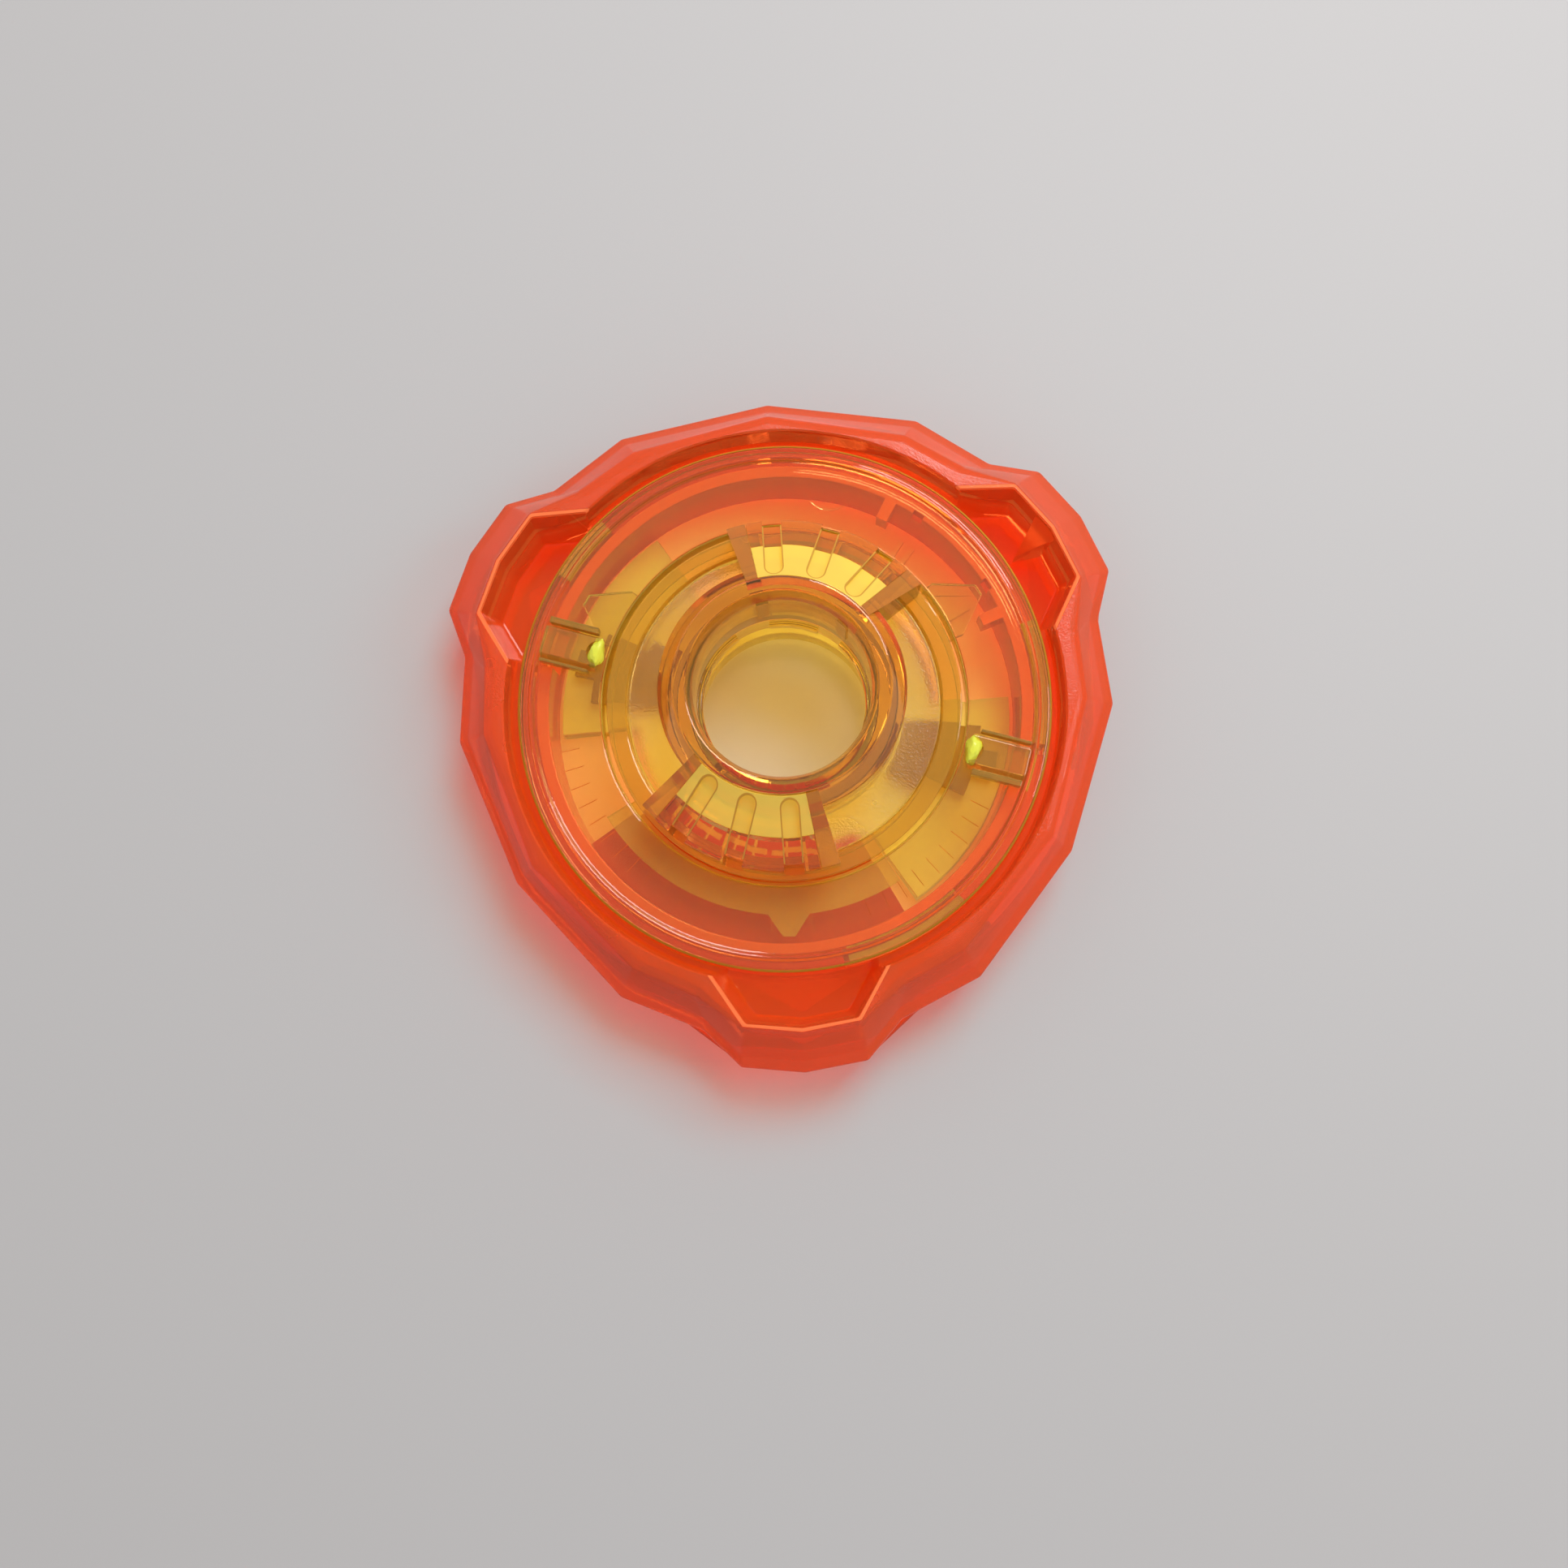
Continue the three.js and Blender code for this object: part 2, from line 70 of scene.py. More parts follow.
# The outline: radii, and angles from a lobe's middle.
LOBES = [33, 153, 273]
TIP_R = RING_LOW.y / math.sin(math.radians(LOBES[2]))
TIP_CORNER_R = TIP_R - 0.2
SHOULDER_R = TIP_R - 2.1
CUSP_R = TIP_R - 2.8
TIP_HALF = 10
SHOULDER_HALF = 32.5
CUSP_ANGLE = 60
WIDE_FLANK = 17.2
INSET_FLANK = 20.5

# The blade ring. A line is its tip, tip corner, flank, flank's angle, shoulder and cusp.
FACE_TOP = COVER_HIGH.z
RIM_Z = RING_HIGH.z
WIDEST_Z = RING_LOW.z + 2.4
LEDGE_Z = WIDEST_Z + 0.6
RIM_EDGE_Z = RIM_Z - 0.3
RIM_INNER_R = 18.33
RIM_EDGE_LINE = (21.5, 21.35, 19.8, 20, 19.75, 19.45)
RIM_LINE = (21.3, 21.15, 19.15, 20, 19.15, 18.85)
SLITS = [(133, 150), (283, 313), (350, 380)]

# The lobes' pockets, as (angle from the lobe, radius), and the groove round the plate.
POCKET_EDGE_R = 20.95
POCKET_EDGE = [
    (-18, 18.3), (-10, POCKET_EDGE_R), (0, POCKET_EDGE_R + 0.15), (10, POCKET_EDGE_R), (18, 18.3),
]
POCKET_INNER = [(18, 17.0), (0, 16.8), (-18, 17.0)]
POCKET_MIDDLE_R = 17.6
POCKET_FLOOR_SHARE = 0.86
POCKET_FLOOR_Z = 3.7
# The band of painted highlight along each pocket's top edge.
HIGHLIGHT_SPREAD = 0.2
HIGHLIGHT_REACH = 0.4
HIGHLIGHT_BASE = RIM_Z - 0.25
GROOVE_INNER_R = 17.62
GROOVE_WALL_R = 18.2
GROOVE_FLOOR_Z = 6.2
RING_INNER_R = 16.65

# The under plate, with its ribs, ticks and clip legs.
PLATE_OUTER_R = PLATE_HIGH.x
PLATE_INNER_R = 11.95
PLATE_BASE = 6.15
PLATE_Z = 7.6
BEAD_R = 16.6
RIB_ANGLES = [165, 345]
RIB_WIDTH = 2.4
LEG_BASE = 3.3
LEG_R = (16.8, 17.4)
LEG_NAMES = ("west", "south", "east")
TICK_ANGLES = [192 + 5 * i for i in range(29)]
MOULD_CIRCLE_ANGLES = [78, 247]
MOULD_CIRCLE_R = 1.5
MOULD_CIRCLE_PLACE_R = 14.9
TICK_R = (13.7, 15.0)
TICK_WIDTH = 0.22
RIB_HOLE_R = 0.75
# Where the painted shade runs along the rib's two sides.
RIB_SHADE_R = (12.9, 16.2)
RIB_SHADE_SIDES = (("north", 1.22, 1.42), ("south", -1.62, -1.22))
GATE_R = 12.65
GATE_REACH = 0.5
GATE_STRETCH = 1.9
GATE_HALF_HEIGHT = 0.6
GATE_MIDDLE_Z = PLATE_Z + 0.72
RIB_TOP = PLATE_HIGH.z

# The index ring's wall, deck and comb, and the marks of the two settings.
WALL_OUTER_R = INDEX_HIGH.x
WALL_INNER_R = WALL_OUTER_R - 0.8
DECK_BASE = 4.2
DECK_TOP = 5.0
DECK_INNER_R = 12.2
COMB_BASE = 2.6
COMB_TOP = 3.1
COMB_INNER_R = 9.35
COMB_TIP_R = (8.4, 8.95)
COMB_ROW_HALF = 31
COMB_TIES = (-31, -10.5, 10, 31)
COMB_TIE_SHARE = 0.97
COMB_TIE_WIDTH = 0.3
COMB_GAPS = [-25, -16.5, -4.5, 3.5, 16.5, 24.2]
COMB_GAP_WIDTH = 0.2
HIDDEN_SPAN = (215, 300)
MARK_ANGLES = [31, 55]
MARK_STROKES = [1, 2]
MARK_R = (12.9, 14.9)
MARK_WIDTH = 0.4
MARK_STEP = 3.6
STOP_ANGLES = [MARK_ANGLES[0] - 7.6, MARK_ANGLES[1] + 7.6]
STOP_INNER_R = 14.3

# The dial's tube, bore, floor and collar.
DIAL_R = 11.65
COLLAR_INNER_R = 10.27
COLLAR_BASE = DIAL_LOW.z
FLOOR_Z = 7.4
FLOOR_BASE = 6.3
TUBE_TOP = DIAL_HIGH.z
TUBE_R = 7.82
TUBE_SHOULDER_Z = TUBE_TOP - 1.5
TUBE_TOP_R = 6.8
BORE_MOUTH_R = 5.92
BORE_R = 5.59
BORE_LIP_R = 5.36
LIP_Z = 6.9
BORE_TAPER_Z = 12.9
SKIRT_BASE = 4.6
PAD_Z = (9.4, 12.8)
PAD_SPANS = (("left", 99, 107), ("right", 43, 51))
LIP_FLATS = [(100, 124), (48, 66)]

# The dial's two toothed arcs.
ARC_ANGLES = [73.5, 253.5]
ARC_HALF = 35
ARC_R = 11.34
ARC_EDGE_Z = TUBE_TOP - 3.0
ARC_ROOT_Z = TUBE_TOP - 0.2
ARC_SLOPE = (ARC_ROOT_Z - ARC_EDGE_Z) / (ARC_R - TUBE_TOP_R)
SLOT_ANGLES = (-20, 0, 20)
SLOT_WIDTH = 1.25
SLOT_DEPTH = 0.45
# How wide and how far out the painted shade lines each slot.
SHADE_LINE_WIDTH = 0.09
SHADE_LINE_OUTER_R = ARC_R - 0.5
END_FROM = 28.6
ROOF_R = 9.3
ROOF_Z = 10.9
SLOT_ROOT_R = 7.0
CELL_INNER_R = 8.3
ROOF = 1.15
CELL_SPANS = [(-28.5, -25.6), (-24.4, -5.1), (-3.9, 23.6), (24.8, 28.5)]

# The dial's flange and pointers.
FLANGE_BASE = 5.2
FLANGE_TOP = 5.95
FLANGE_R = 13.8
POINTER_R = 15.2
POINTERS = [31, 151, 271]
POINTER_SHAPE = [(11.4, -9), (12.9, -9), (POINTER_R, -1.5), (POINTER_R, 1.5), (12.9, 9), (11.4, 9)]
FLANGE_INNER_R = 11.7
FLANGE_SPAN = (212, 303)

# The decorative face: the core with its wings and bosses, and the cover round it.
CORE_BASE = CORE_LOW.z
CORE_TOP = 2.35
CORE_STEP_R = 9.0
CORE_BORE_R = 5.9
CORE_RING_R = 10.0
WING_ANGLES = [155, 335]
WING_HALF = 29.5
WING_R = 15.3
COVER_FLOOR = 1.2
COVER_SPLIT_R = 17.7
COVER_WALL_R = 17.8
COVER_STEPS = [(0, 3.2), (0.7, 2.2), (2.1, 0.15), (2.3, 0), (FACE_TOP - 0.15, 0), (FACE_TOP, 0.15)]
TROUGH_R = 17.0
TROUGH_DEPTH = 0.45
FACET_R = (18.4, 20.2)
FACET_HALF = 11
FACET_DEPTH = 0.5
COVER_RING_R = 10.4
CORE_LEDGE_Z = COVER_FLOOR + 0.15
BOSS_TOP = CORE_HIGH.z
BOSS_STEPS = [(7.9, 10.4, -15, 12), (10.3, 13.3, -10, 11), (13.2, 14.65, -3, 4)]


# ---- Solids -------------------------------------------------------------------------

def at(r, degrees):
    a = math.radians(degrees)
    return r * math.cos(a), r * math.sin(a)


def solid(points, faces):
    """An object in millimetres from points and faces, with its faces pointing out."""
    mesh = bpy.data.meshes.new("solid")
    mesh.from_pydata(points, [], faces)
    work = bmesh.new()
    work.from_mesh(mesh)
    bmesh.ops.remove_doubles(work, verts=work.verts, dist=1e-4)
    bmesh.ops.recalc_face_normals(work, faces=work.faces)
    work.to_mesh(mesh)
    work.free()
    ob = bpy.data.objects.new("solid", mesh)
    bpy.context.scene.collection.objects.link(ob)
    return ob


def soften(ob, size, segments=2, angle=20):
    """Rounds every edge of a solid that is sharper than the angle."""
    work = bmesh.new()
    work.from_mesh(ob.data)
    limit = math.radians(angle)
    edges = [e for e in work.edges if e.calc_face_angle(0) > limit]
    bmesh.ops.bevel(work, geom=edges, offset=size, segments=segments, profile=0.5, affect="EDGES",
                    clamp_overlap=True)
    work.to_mesh(ob.data)
    work.free()
    return ob


def rounded(profile, size=0.12, steps=2):
    """A closed profile with each corner turned into a short curve."""
    points = [Vector(p) for p in profile]
    out = []
    for i, corner in enumerate(points):
        before, after = points[i - 1] - corner, points[(i + 1) % len(points)] - corner
        reach = min(size, before.length * 0.4, after.length * 0.4)
        start, end = corner + before.normalized() * reach, corner + after.normalized() * reach
        for k in range(steps + 1):
            t = k / steps
            out.append(start * (1 - t) ** 2 + corner * 2 * t * (1 - t) + end * t * t)
    return [(p.x, p.y) for p in out]


def turned(profile, segments=ROUND):
    """A ring turned about Z from a closed profile of (radius, height) points."""
    n = len(profile)
    points = []
    for s in range(segments):
        c, k = at(1, 360 * s / segments)
        points += [(r * c, r * k, z) for r, z in profile]
    faces = []
    for s in range(segments):
        a, b = s * n, (s + 1) % segments * n
        faces += [(a + i, b + i, b + (i + 1) % n, a + (i + 1) % n) for i in range(n)]
    return solid(points, faces)


def spun(points, degrees):
    """Flat points, turned about the axis."""
    c, s = at(1, degrees)
    return [(x * c - y * s, x * s + y * c) for x, y in points]


def loft(levels):
    """A solid through a stack of outlines, each (height, points)."""
    n = len(levels[0][1])
    points = [(x, y, z) for z, outline in levels for x, y in outline]
    faces = [tuple(range(n)), tuple(range(len(points) - n, len(points)))]
    for level in range(len(levels) - 1):
        a, b = level * n, (level + 1) * n
        faces += [(a + i, a + (i + 1) % n, b + (i + 1) % n, b + i) for i in range(n)]
    return solid(points, faces)


def prism(points, z0, z1):
    return loft([(z0, points), (z1, points)])


def plug(r, low, high):
    """A solid disc on the axis, for cutting."""
    return turned([(0, low), (r, low), (r, high), (0, high)])


def sector(r0, r1, a0, a1, z0, z1, soft=0.0):
    """A sector of a flat ring between two radii and two angles."""
    steps = max(2, round((a1 - a0) / 360 * ROUND))
    angles = [a0 + (a1 - a0) * i / steps for i in range(steps + 1)]
    body = prism([at(r1, a) for a in angles] + [at(r0, a) for a in reversed(angles)], z0, z1)
    return soften(body, soft) if soft else body


def radial_bar(r0, r1, width, angle, z0, z1, draft=0.0, soft=0.0):
    """A straight bar that points outwards, narrower at the top by the draft on each side."""
    levels = []
    for z, half in ((z0, width / 2), (z1, width / 2 - draft)):
        corners = [(r0, -half), (r1, -half), (r1, half), (r0, half)]
        levels.append((z, spun(corners, angle)))
    body = loft(levels)
    return soften(body, soft) if soft else body


def combine(body, others, operation):
    """Joins the others to body, or cuts or keeps what they cover, and uses them up."""
    for other in others:
        step = body.modifiers.new("step", "BOOLEAN")
        step.operation = operation
        step.object = other
        step.solver = "MANIFOLD"
        seen = body.evaluated_get(bpy.context.evaluated_depsgraph_get())
        shaped = bpy.data.meshes.new_from_object(seen)
        body.modifiers.remove(step)
        if not shaped.polygons:
            raise ValueError("a boolean left nothing")
        body.data = shaped
        bpy.data.objects.remove(other)
    return body


def twin(ob):
    """A second object with its own copy of the mesh."""
    other = ob.copy()
    other.data = ob.data.copy()
    bpy.context.scene.collection.objects.link(other)
    return other


def join(body, others):
    return combine(body, others, "UNION")


def cut(body, others):
    return combine(body, others, "DIFFERENCE")


def keep(body, others):
    return combine(body, others, "INTERSECT")


def piece(ob, name, node, body, material):
    """Names a finished solid, puts it in metres, hides the CAD part it stands for, if any, and hangs it
    on its body.
    """
    ob.name = name
    ob.data.name = name
    ob.data.transform(Matrix.Scale(MM, 4))
    for polygon in ob.data.polygons:
        polygon.use_smooth = True
    ob.data.set_sharp_from_angle(angle=math.radians(SHARP_ANGLE))
    ob.data.materials.clear()
    ob.data.materials.append(material)
    if node:
        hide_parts(node)
    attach(ob, body)
    return ob


# ---- Outlines -----------------------------------------------------------------------

def outline(tip, tip_corner, flank, flank_angle, shoulder, cusp):
    """The corners of a three-lobed outline, made of one third of it three times."""
    third = [
        (-SHOULDER_HALF, shoulder), (-flank_angle, flank), (-TIP_HALF, tip_corner), (0, tip),
        (TIP_HALF, tip_corner), (flank_angle, flank), (SHOULDER_HALF, shoulder), (CUSP_ANGLE, cusp),
    ]
    return [at(r, lobe + angle) for lobe in LOBES for angle, r in third]


def shrunk(by, flank_angle):
    """The widest outline, drawn in by a distance."""
    shoulder = SHOULDER_R - by
    return outline(TIP_R - by, TIP_CORNER_R - by, shoulder, flank_angle, shoulder, CUSP_R - by)


def wide(by):
    return shrunk(by, WIDE_FLANK)


def inset(by):
    return shrunk(by, INSET_FLANK)


# ---- Blade ring ---------------------------------------------------------------------

def pocket(lobe):
    """What a lobe's pocket takes away, a little smaller at its floor than at its top."""
    top = [at(r, lobe + a) for a, r in POCKET_EDGE + POCKET_INNER]
    middle = Vector(at(POCKET_MIDDLE_R, lobe))
    bottom = [tuple(middle + (Vector(p) - middle) * POCKET_FLOOR_SHARE) for p in top]
    return soften(loft([(POCKET_FLOOR_Z, bottom), (RIM_Z + 0.2, top)]), 0.15)


def pocket_web(lobe):
    """The wedge-shaped web that stiffens the first lobe's pocket, its top falling inwards."""
    corners = [(21.3, 4.2, RIM_Z - 0.2), (18.75, 0.6, 5.1), (21.3, -2.2, RIM_Z - 0.2)]
    base = [(*at(r, lobe + a), POCKET_FLOOR_Z - 0.2) for r, a, _ in corners]
    top = [(*at(r, lobe + a), z) for r, a, z in corners]
    faces = [(0, 1, 2), (3, 4, 5), (0, 1, 4, 3), (1, 2, 5, 4), (2, 0, 3, 5)]
    return solid(base + top, faces)


def pocket_highlight_bands(spread, base):
    """A band along each pocket's outer edge, from a little inside it to the spread outside it: the shape
    of the painted highlight.
    """
    bands = []
    for lobe in LOBES:
        middle = Vector(at(POCKET_MIDDLE_R, lobe))
        edge = [Vector(at(r, lobe + a)) for a, r in POCKET_EDGE]
        outer = [tuple(p + (p - middle).normalized() * spread) for p in edge]
        inner = [tuple(p - (p - middle).normalized() * HIGHLIGHT_REACH) for p in reversed(edge)]
        bands.append(prism(outer + inner, base, RIM_Z + 0.5))
    return join(bands[0], bands[1:])


def blade_ring(material, highlight_material):
    """The outer ring, with the pockets' pale top edges, a painted highlight, as a piece of their own."""
    body = loft([
        (RING_LOW.z, wide(0.35)), (RING_LOW.z + 0.3, wide(0)), (WIDEST_Z, wide(0)),
        (LEDGE_Z, wide(0.75)), (RIM_EDGE_Z, outline(*RIM_EDGE_LINE)), (RIM_Z, outline(*RIM_LINE)),
    ])
    soften(body, 0.14, 2, 8)
    inside = turned([
        (0, 2), (RING_INNER_R, 2),
        (RING_INNER_R, POCKET_FLOOR_Z - 0.15), (RING_INNER_R + 0.15, POCKET_FLOOR_Z),
        (GROOVE_INNER_R, POCKET_FLOOR_Z), (GROOVE_INNER_R, GROOVE_FLOOR_Z - 0.08),
        (GROOVE_INNER_R + 0.08, GROOVE_FLOOR_Z), (GROOVE_WALL_R - 0.15, GROOVE_FLOOR_Z),
        (GROOVE_WALL_R, GROOVE_FLOOR_Z + 0.15), (RIM_INNER_R, RIM_Z - 0.12),
        (RIM_INNER_R + 0.12, RIM_Z), (RIM_INNER_R + 0.12, RIM_Z + 1), (0, RIM_Z + 1),
    ])
    slits = [sector(16, 17.6, a0, a1, 2, POCKET_FLOOR_Z + 0.2) for a0, a1 in SLITS]
    whole = cut(body, [inside] + [pocket(lobe) for lobe in LOBES] + slits)
    join(whole, [pocket_web(LOBES[0])])
    soften(whole, 0.07, 2, 30)
    edges = keep(twin(whole), [pocket_highlight_bands(HIGHLIGHT_SPREAD, HIGHLIGHT_BASE)])
    piece(edges, "pocket_edge_highlights", None, "shell", highlight_material)
    cut(whole, [pocket_highlight_bands(HIGHLIGHT_SPREAD + HAIR, HIGHLIGHT_BASE - HAIR)])
    return piece(whole, "blade_ring_clear", "blade_ring", "shell", material)


# ---- Face cover ---------------------------------------------------------------------

def setting_marks():
    """Raised ticks on the cover's floor, one for the first setting and two for the second."""
    marks = []
    for angle, strokes in zip(MARK_ANGLES, MARK_STROKES):
        for k in range(strokes):
            offset = (k - (strokes - 1) / 2) * MARK_STEP
            low, high = COVER_FLOOR - 0.1, COVER_FLOOR + 0.35
            marks.append(radial_bar(*MARK_R, MARK_WIDTH, angle + offset, low, high, 0.05))
    return marks


def face_cover(material, wall_material):
    """The decorative face, split into its thin floor and its thick outer wall; the floor's paler, hazier
    orange is partly the plastic's own scatter and partly painted light.
    """
    body = loft([(z, inset(by)) for z, by in COVER_STEPS])
    soften(body, 0.1, 2, 8)
    inside = turned([
        (COVER_RING_R - 1.2, -1), (COVER_RING_R, COVER_FLOOR), (COVER_WALL_R, COVER_FLOOR),
        (COVER_WALL_R + 0.15, COVER_FLOOR + 0.15), (COVER_WALL_R + 0.5, FACE_TOP + 1),
        (0, FACE_TOP + 1), (0, -1),
    ])
    half = WING_HALF + 0.5
    windows = [sector(COVER_RING_R, WING_R + 0.15, a - half, a + half, -1, COVER_FLOOR + 1)
               for a in WING_ANGLES]
    trough = turned([
        (TROUGH_R - 0.6, -1), (TROUGH_R + 0.6, -1),
        (TROUGH_R + 0.3, TROUGH_DEPTH), (TROUGH_R - 0.3, TROUGH_DEPTH),
    ])
    facets = []
    for lobe in LOBES:
        low, high = lobe - FACET_HALF, lobe + FACET_HALF
        corners = [at(FACET_R[0], low), at(FACET_R[1], lobe), at(FACET_R[0], high)]
        facets.append(prism(corners, -1, FACET_DEPTH))
    slits = [sector(16.6, 17.5, a0, a1, -1, FACE_TOP) for a0, a1 in SLITS]
    cut(body, [inside] + windows + slits + [trough] + facets)
    join(body, setting_marks())
    wall = cut(twin(body), [plug(COVER_SPLIT_R + GAP, -1, FACE_TOP + 1)])
    piece(wall, "face_cover_wall", None, "shell", wall_material)
    keep(body, [plug(COVER_SPLIT_R, -1, FACE_TOP + 1)])
    return piece(body, "face_cover_clear", "face_cover", "shell", material)


# ---- Face core ----------------------------------------------------------------------

def face_core(material):
    """The yellow centre of the decorative face, with its wings in the cover's windows."""
    disc = turned(rounded([
        (CORE_BORE_R, CORE_BASE), (CORE_STEP_R, CORE_BASE), (CORE_STEP_R, CORE_LEDGE_Z),
        (CORE_RING_R, CORE_LEDGE_Z), (CORE_RING_R, CORE_TOP), (CORE_BORE_R, CORE_TOP),
    ], 0.1))
    wings = []
    for angle in WING_ANGLES:
        a0, a1 = angle - WING_HALF, angle + WING_HALF
        wings.append(sector(CORE_RING_R - 0.6, WING_R, a0, a1, CORE_LEDGE_Z, CORE_TOP))
        wings.append(sector(COVER_RING_R + 0.2, WING_R, a0, a1, CORE_BASE, CORE_LEDGE_Z + 0.15))
    join(disc, wings)
    return piece(disc, "face_core_clear", "face_core", "shell", material)


def core_boss(name, a, material):
    """The stepped boss that stands on a wing under a rib of the under plate, in a dark brown that is
    painted shade.
    """
    steps = [sector(r0, r1, a + a0, a + a1, CORE_TOP + HAIR, BOSS_TOP) for r0, r1, a0, a1 in BOSS_STEPS]
    body = join(steps[0], steps[1:])
    return piece(body, name, None, "shell", material)


# ---- Index ring ---------------------------------------------------------------------

def comb():
    """A flat comb under the south arc, with an inner row of pads tied to its plate by thin bars."""
    middle = ARC_ANGLES[1]
    plate = sector(COMB_INNER_R, WALL_INNER_R - GAP, *HIDDEN_SPAN, COMB_BASE, COMB_TOP)
    row = sector(*COMB_TIP_R, middle - COMB_ROW_HALF, middle + COMB_ROW_HALF, COMB_BASE, COMB_TOP)
    tie_r = (COMB_TIP_R[0] + 0.1, COMB_INNER_R + 0.3)
    ties = [radial_bar(*tie_r, COMB_TIE_WIDTH, middle + a * COMB_TIE_SHARE, COMB_BASE, COMB_TOP)
            for a in COMB_TIES]
    gaps = [radial_bar(8, 10.2, COMB_GAP_WIDTH, middle + a, COMB_BASE - 0.2, COMB_TOP + 1)
            for a in COMB_GAPS]
    return cut(join(plate, [row] + ties), gaps)


def index_ring(material, wall_material):
    """The upright wall with its stops, in a brighter, hazier orange that is a painted glow, and the
    hidden deck and comb inside it.
    """
    wall = turned(rounded([
        (WALL_INNER_R, INDEX_LOW.z), (WALL_OUTER_R, INDEX_LOW.z),
        (WALL_OUTER_R, INDEX_HIGH.z), (WALL_INNER_R, INDEX_HIGH.z),
    ], 0.1))
    deck = sector(DECK_INNER_R, WALL_INNER_R - GAP, *HIDDEN_SPAN, DECK_BASE, DECK_TOP)
    stops = [sector(STOP_INNER_R, WALL_INNER_R + 0.25, a - 1.5, a + 1.5, DECK_BASE, INDEX_HIGH.z)
             for a in STOP_ANGLES]
    rib_gaps = [sector(15, 17, a - 5, a + 5, 3.1, 7) for a in RIB_ANGLES]
    detents = [radial_bar(15.3, WALL_INNER_R + 0.3, 0.8, a, DECK_TOP + 0.1, 7) for a in MARK_ANGLES]
    join(wall, stops)
    cut(wall, rib_gaps + detents)
    piece(wall, "index_ring_wall", None, "shell", wall_material)
    join(deck, [comb()])
    return piece(deck, "index_ring_clear", "index_ring", "shell", material)


# ---- Under plate --------------------------------------------------------------------

def plate_rib(angle):
    """The radial key on the plate, with a round hollow at its inner end for the gate lump."""
    bar = radial_bar(12.5, 16.3, RIB_WIDTH, angle, PLATE_Z + HAIR, RIB_TOP, 0.3, 0.08)
    x, y = at(12.55, angle)
    turns = [i * math.pi / 16 for i in range(32)]
    hole = [(x + RIB_HOLE_R * math.cos(t), y + RIB_HOLE_R * math.sin(t)) for t in turns]
    return cut(bar, [prism(hole, PLATE_Z + 0.25, RIB_TOP + 1)])


def gate_stub(angle):
    """The rough lump left where the plastic entered the mould."""
    x, y = at(GATE_R, angle)
    c, s = at(1, angle)
    rings, steps = 8, 20
    points, faces = [], []
    for i in range(rings + 1):
        lift = math.pi * i / rings - math.pi / 2
        for k in range(steps):
            turn = 2 * math.pi * k / steps
            rough = 1 + 0.12 * math.sin(3 * turn + 2 * lift) + 0.08 * math.sin(5 * turn - 3 * lift)
            r = GATE_REACH * math.cos(lift) * rough
            across, along = r * math.cos(turn), GATE_STRETCH * r * math.sin(turn)
            z = GATE_MIDDLE_Z + GATE_HALF_HEIGHT * math.sin(lift)
            points.append((x + across * c - along * s, y + across * s + along * c, z))
    for i in range(rings):
        for k in range(steps):
            a, b = i * steps + k, i * steps + (k + 1) % steps
            faces.append((a, b, b + steps, a + steps))
    return solid(points, faces)


def painted_rim_glows(outer_glow_material, inner_glow_material):
    """Thin strips along the plate's outside and round its hole, whose yellow is a painted glow of these
    edges.
    """
    outer = turned(rounded([
        (PLATE_OUTER_R - 0.15, PLATE_BASE), (PLATE_OUTER_R, PLATE_BASE), (PLATE_OUTER_R, PLATE_Z - 0.15),
        (PLATE_OUTER_R - 0.15, PLATE_Z - 0.02),
    ], 0.03))
    piece(outer, "plate_rim_outer_glow", None, "shell", outer_glow_material)
    inner = turned(rounded([
        (PLATE_INNER_R, PLATE_BASE), (PLATE_INNER_R + 0.11, PLATE_BASE), (PLATE_INNER_R + 0.11, PLATE_Z),
        (PLATE_INNER_R, PLATE_Z - 0.05),
    ], 0.03))
    piece(inner, "plate_rim_inner_glow", None, "shell", inner_glow_material)


def shaded_rib_walls(name, angle, material):
    """Thin sheets along the rib's two side walls, darker as painted shade."""
    inner, outer = RIB_SHADE_R
    for side, start, end in RIB_SHADE_SIDES:
        corners = [(inner, start), (outer, start), (outer, end), (inner, end)]
        wall = prism(spun(corners, angle), PLATE_Z + HAIR, RIB_TOP - 0.12)
        soften(wall, 0.05)
        piece(wall, name + "_" + side, None, "shell", material)


def plate_legs(material):
    """The clip legs of the under plate, which reach down into the ring's slits."""
    for name, (a0, a1) in zip(LEG_NAMES, SLITS):
        leg = sector(*LEG_R, a0 + 1, a1 - 1, LEG_BASE, PLATE_BASE - GAP)
        piece(leg, "plate_leg_" + name, None, "shell", material)


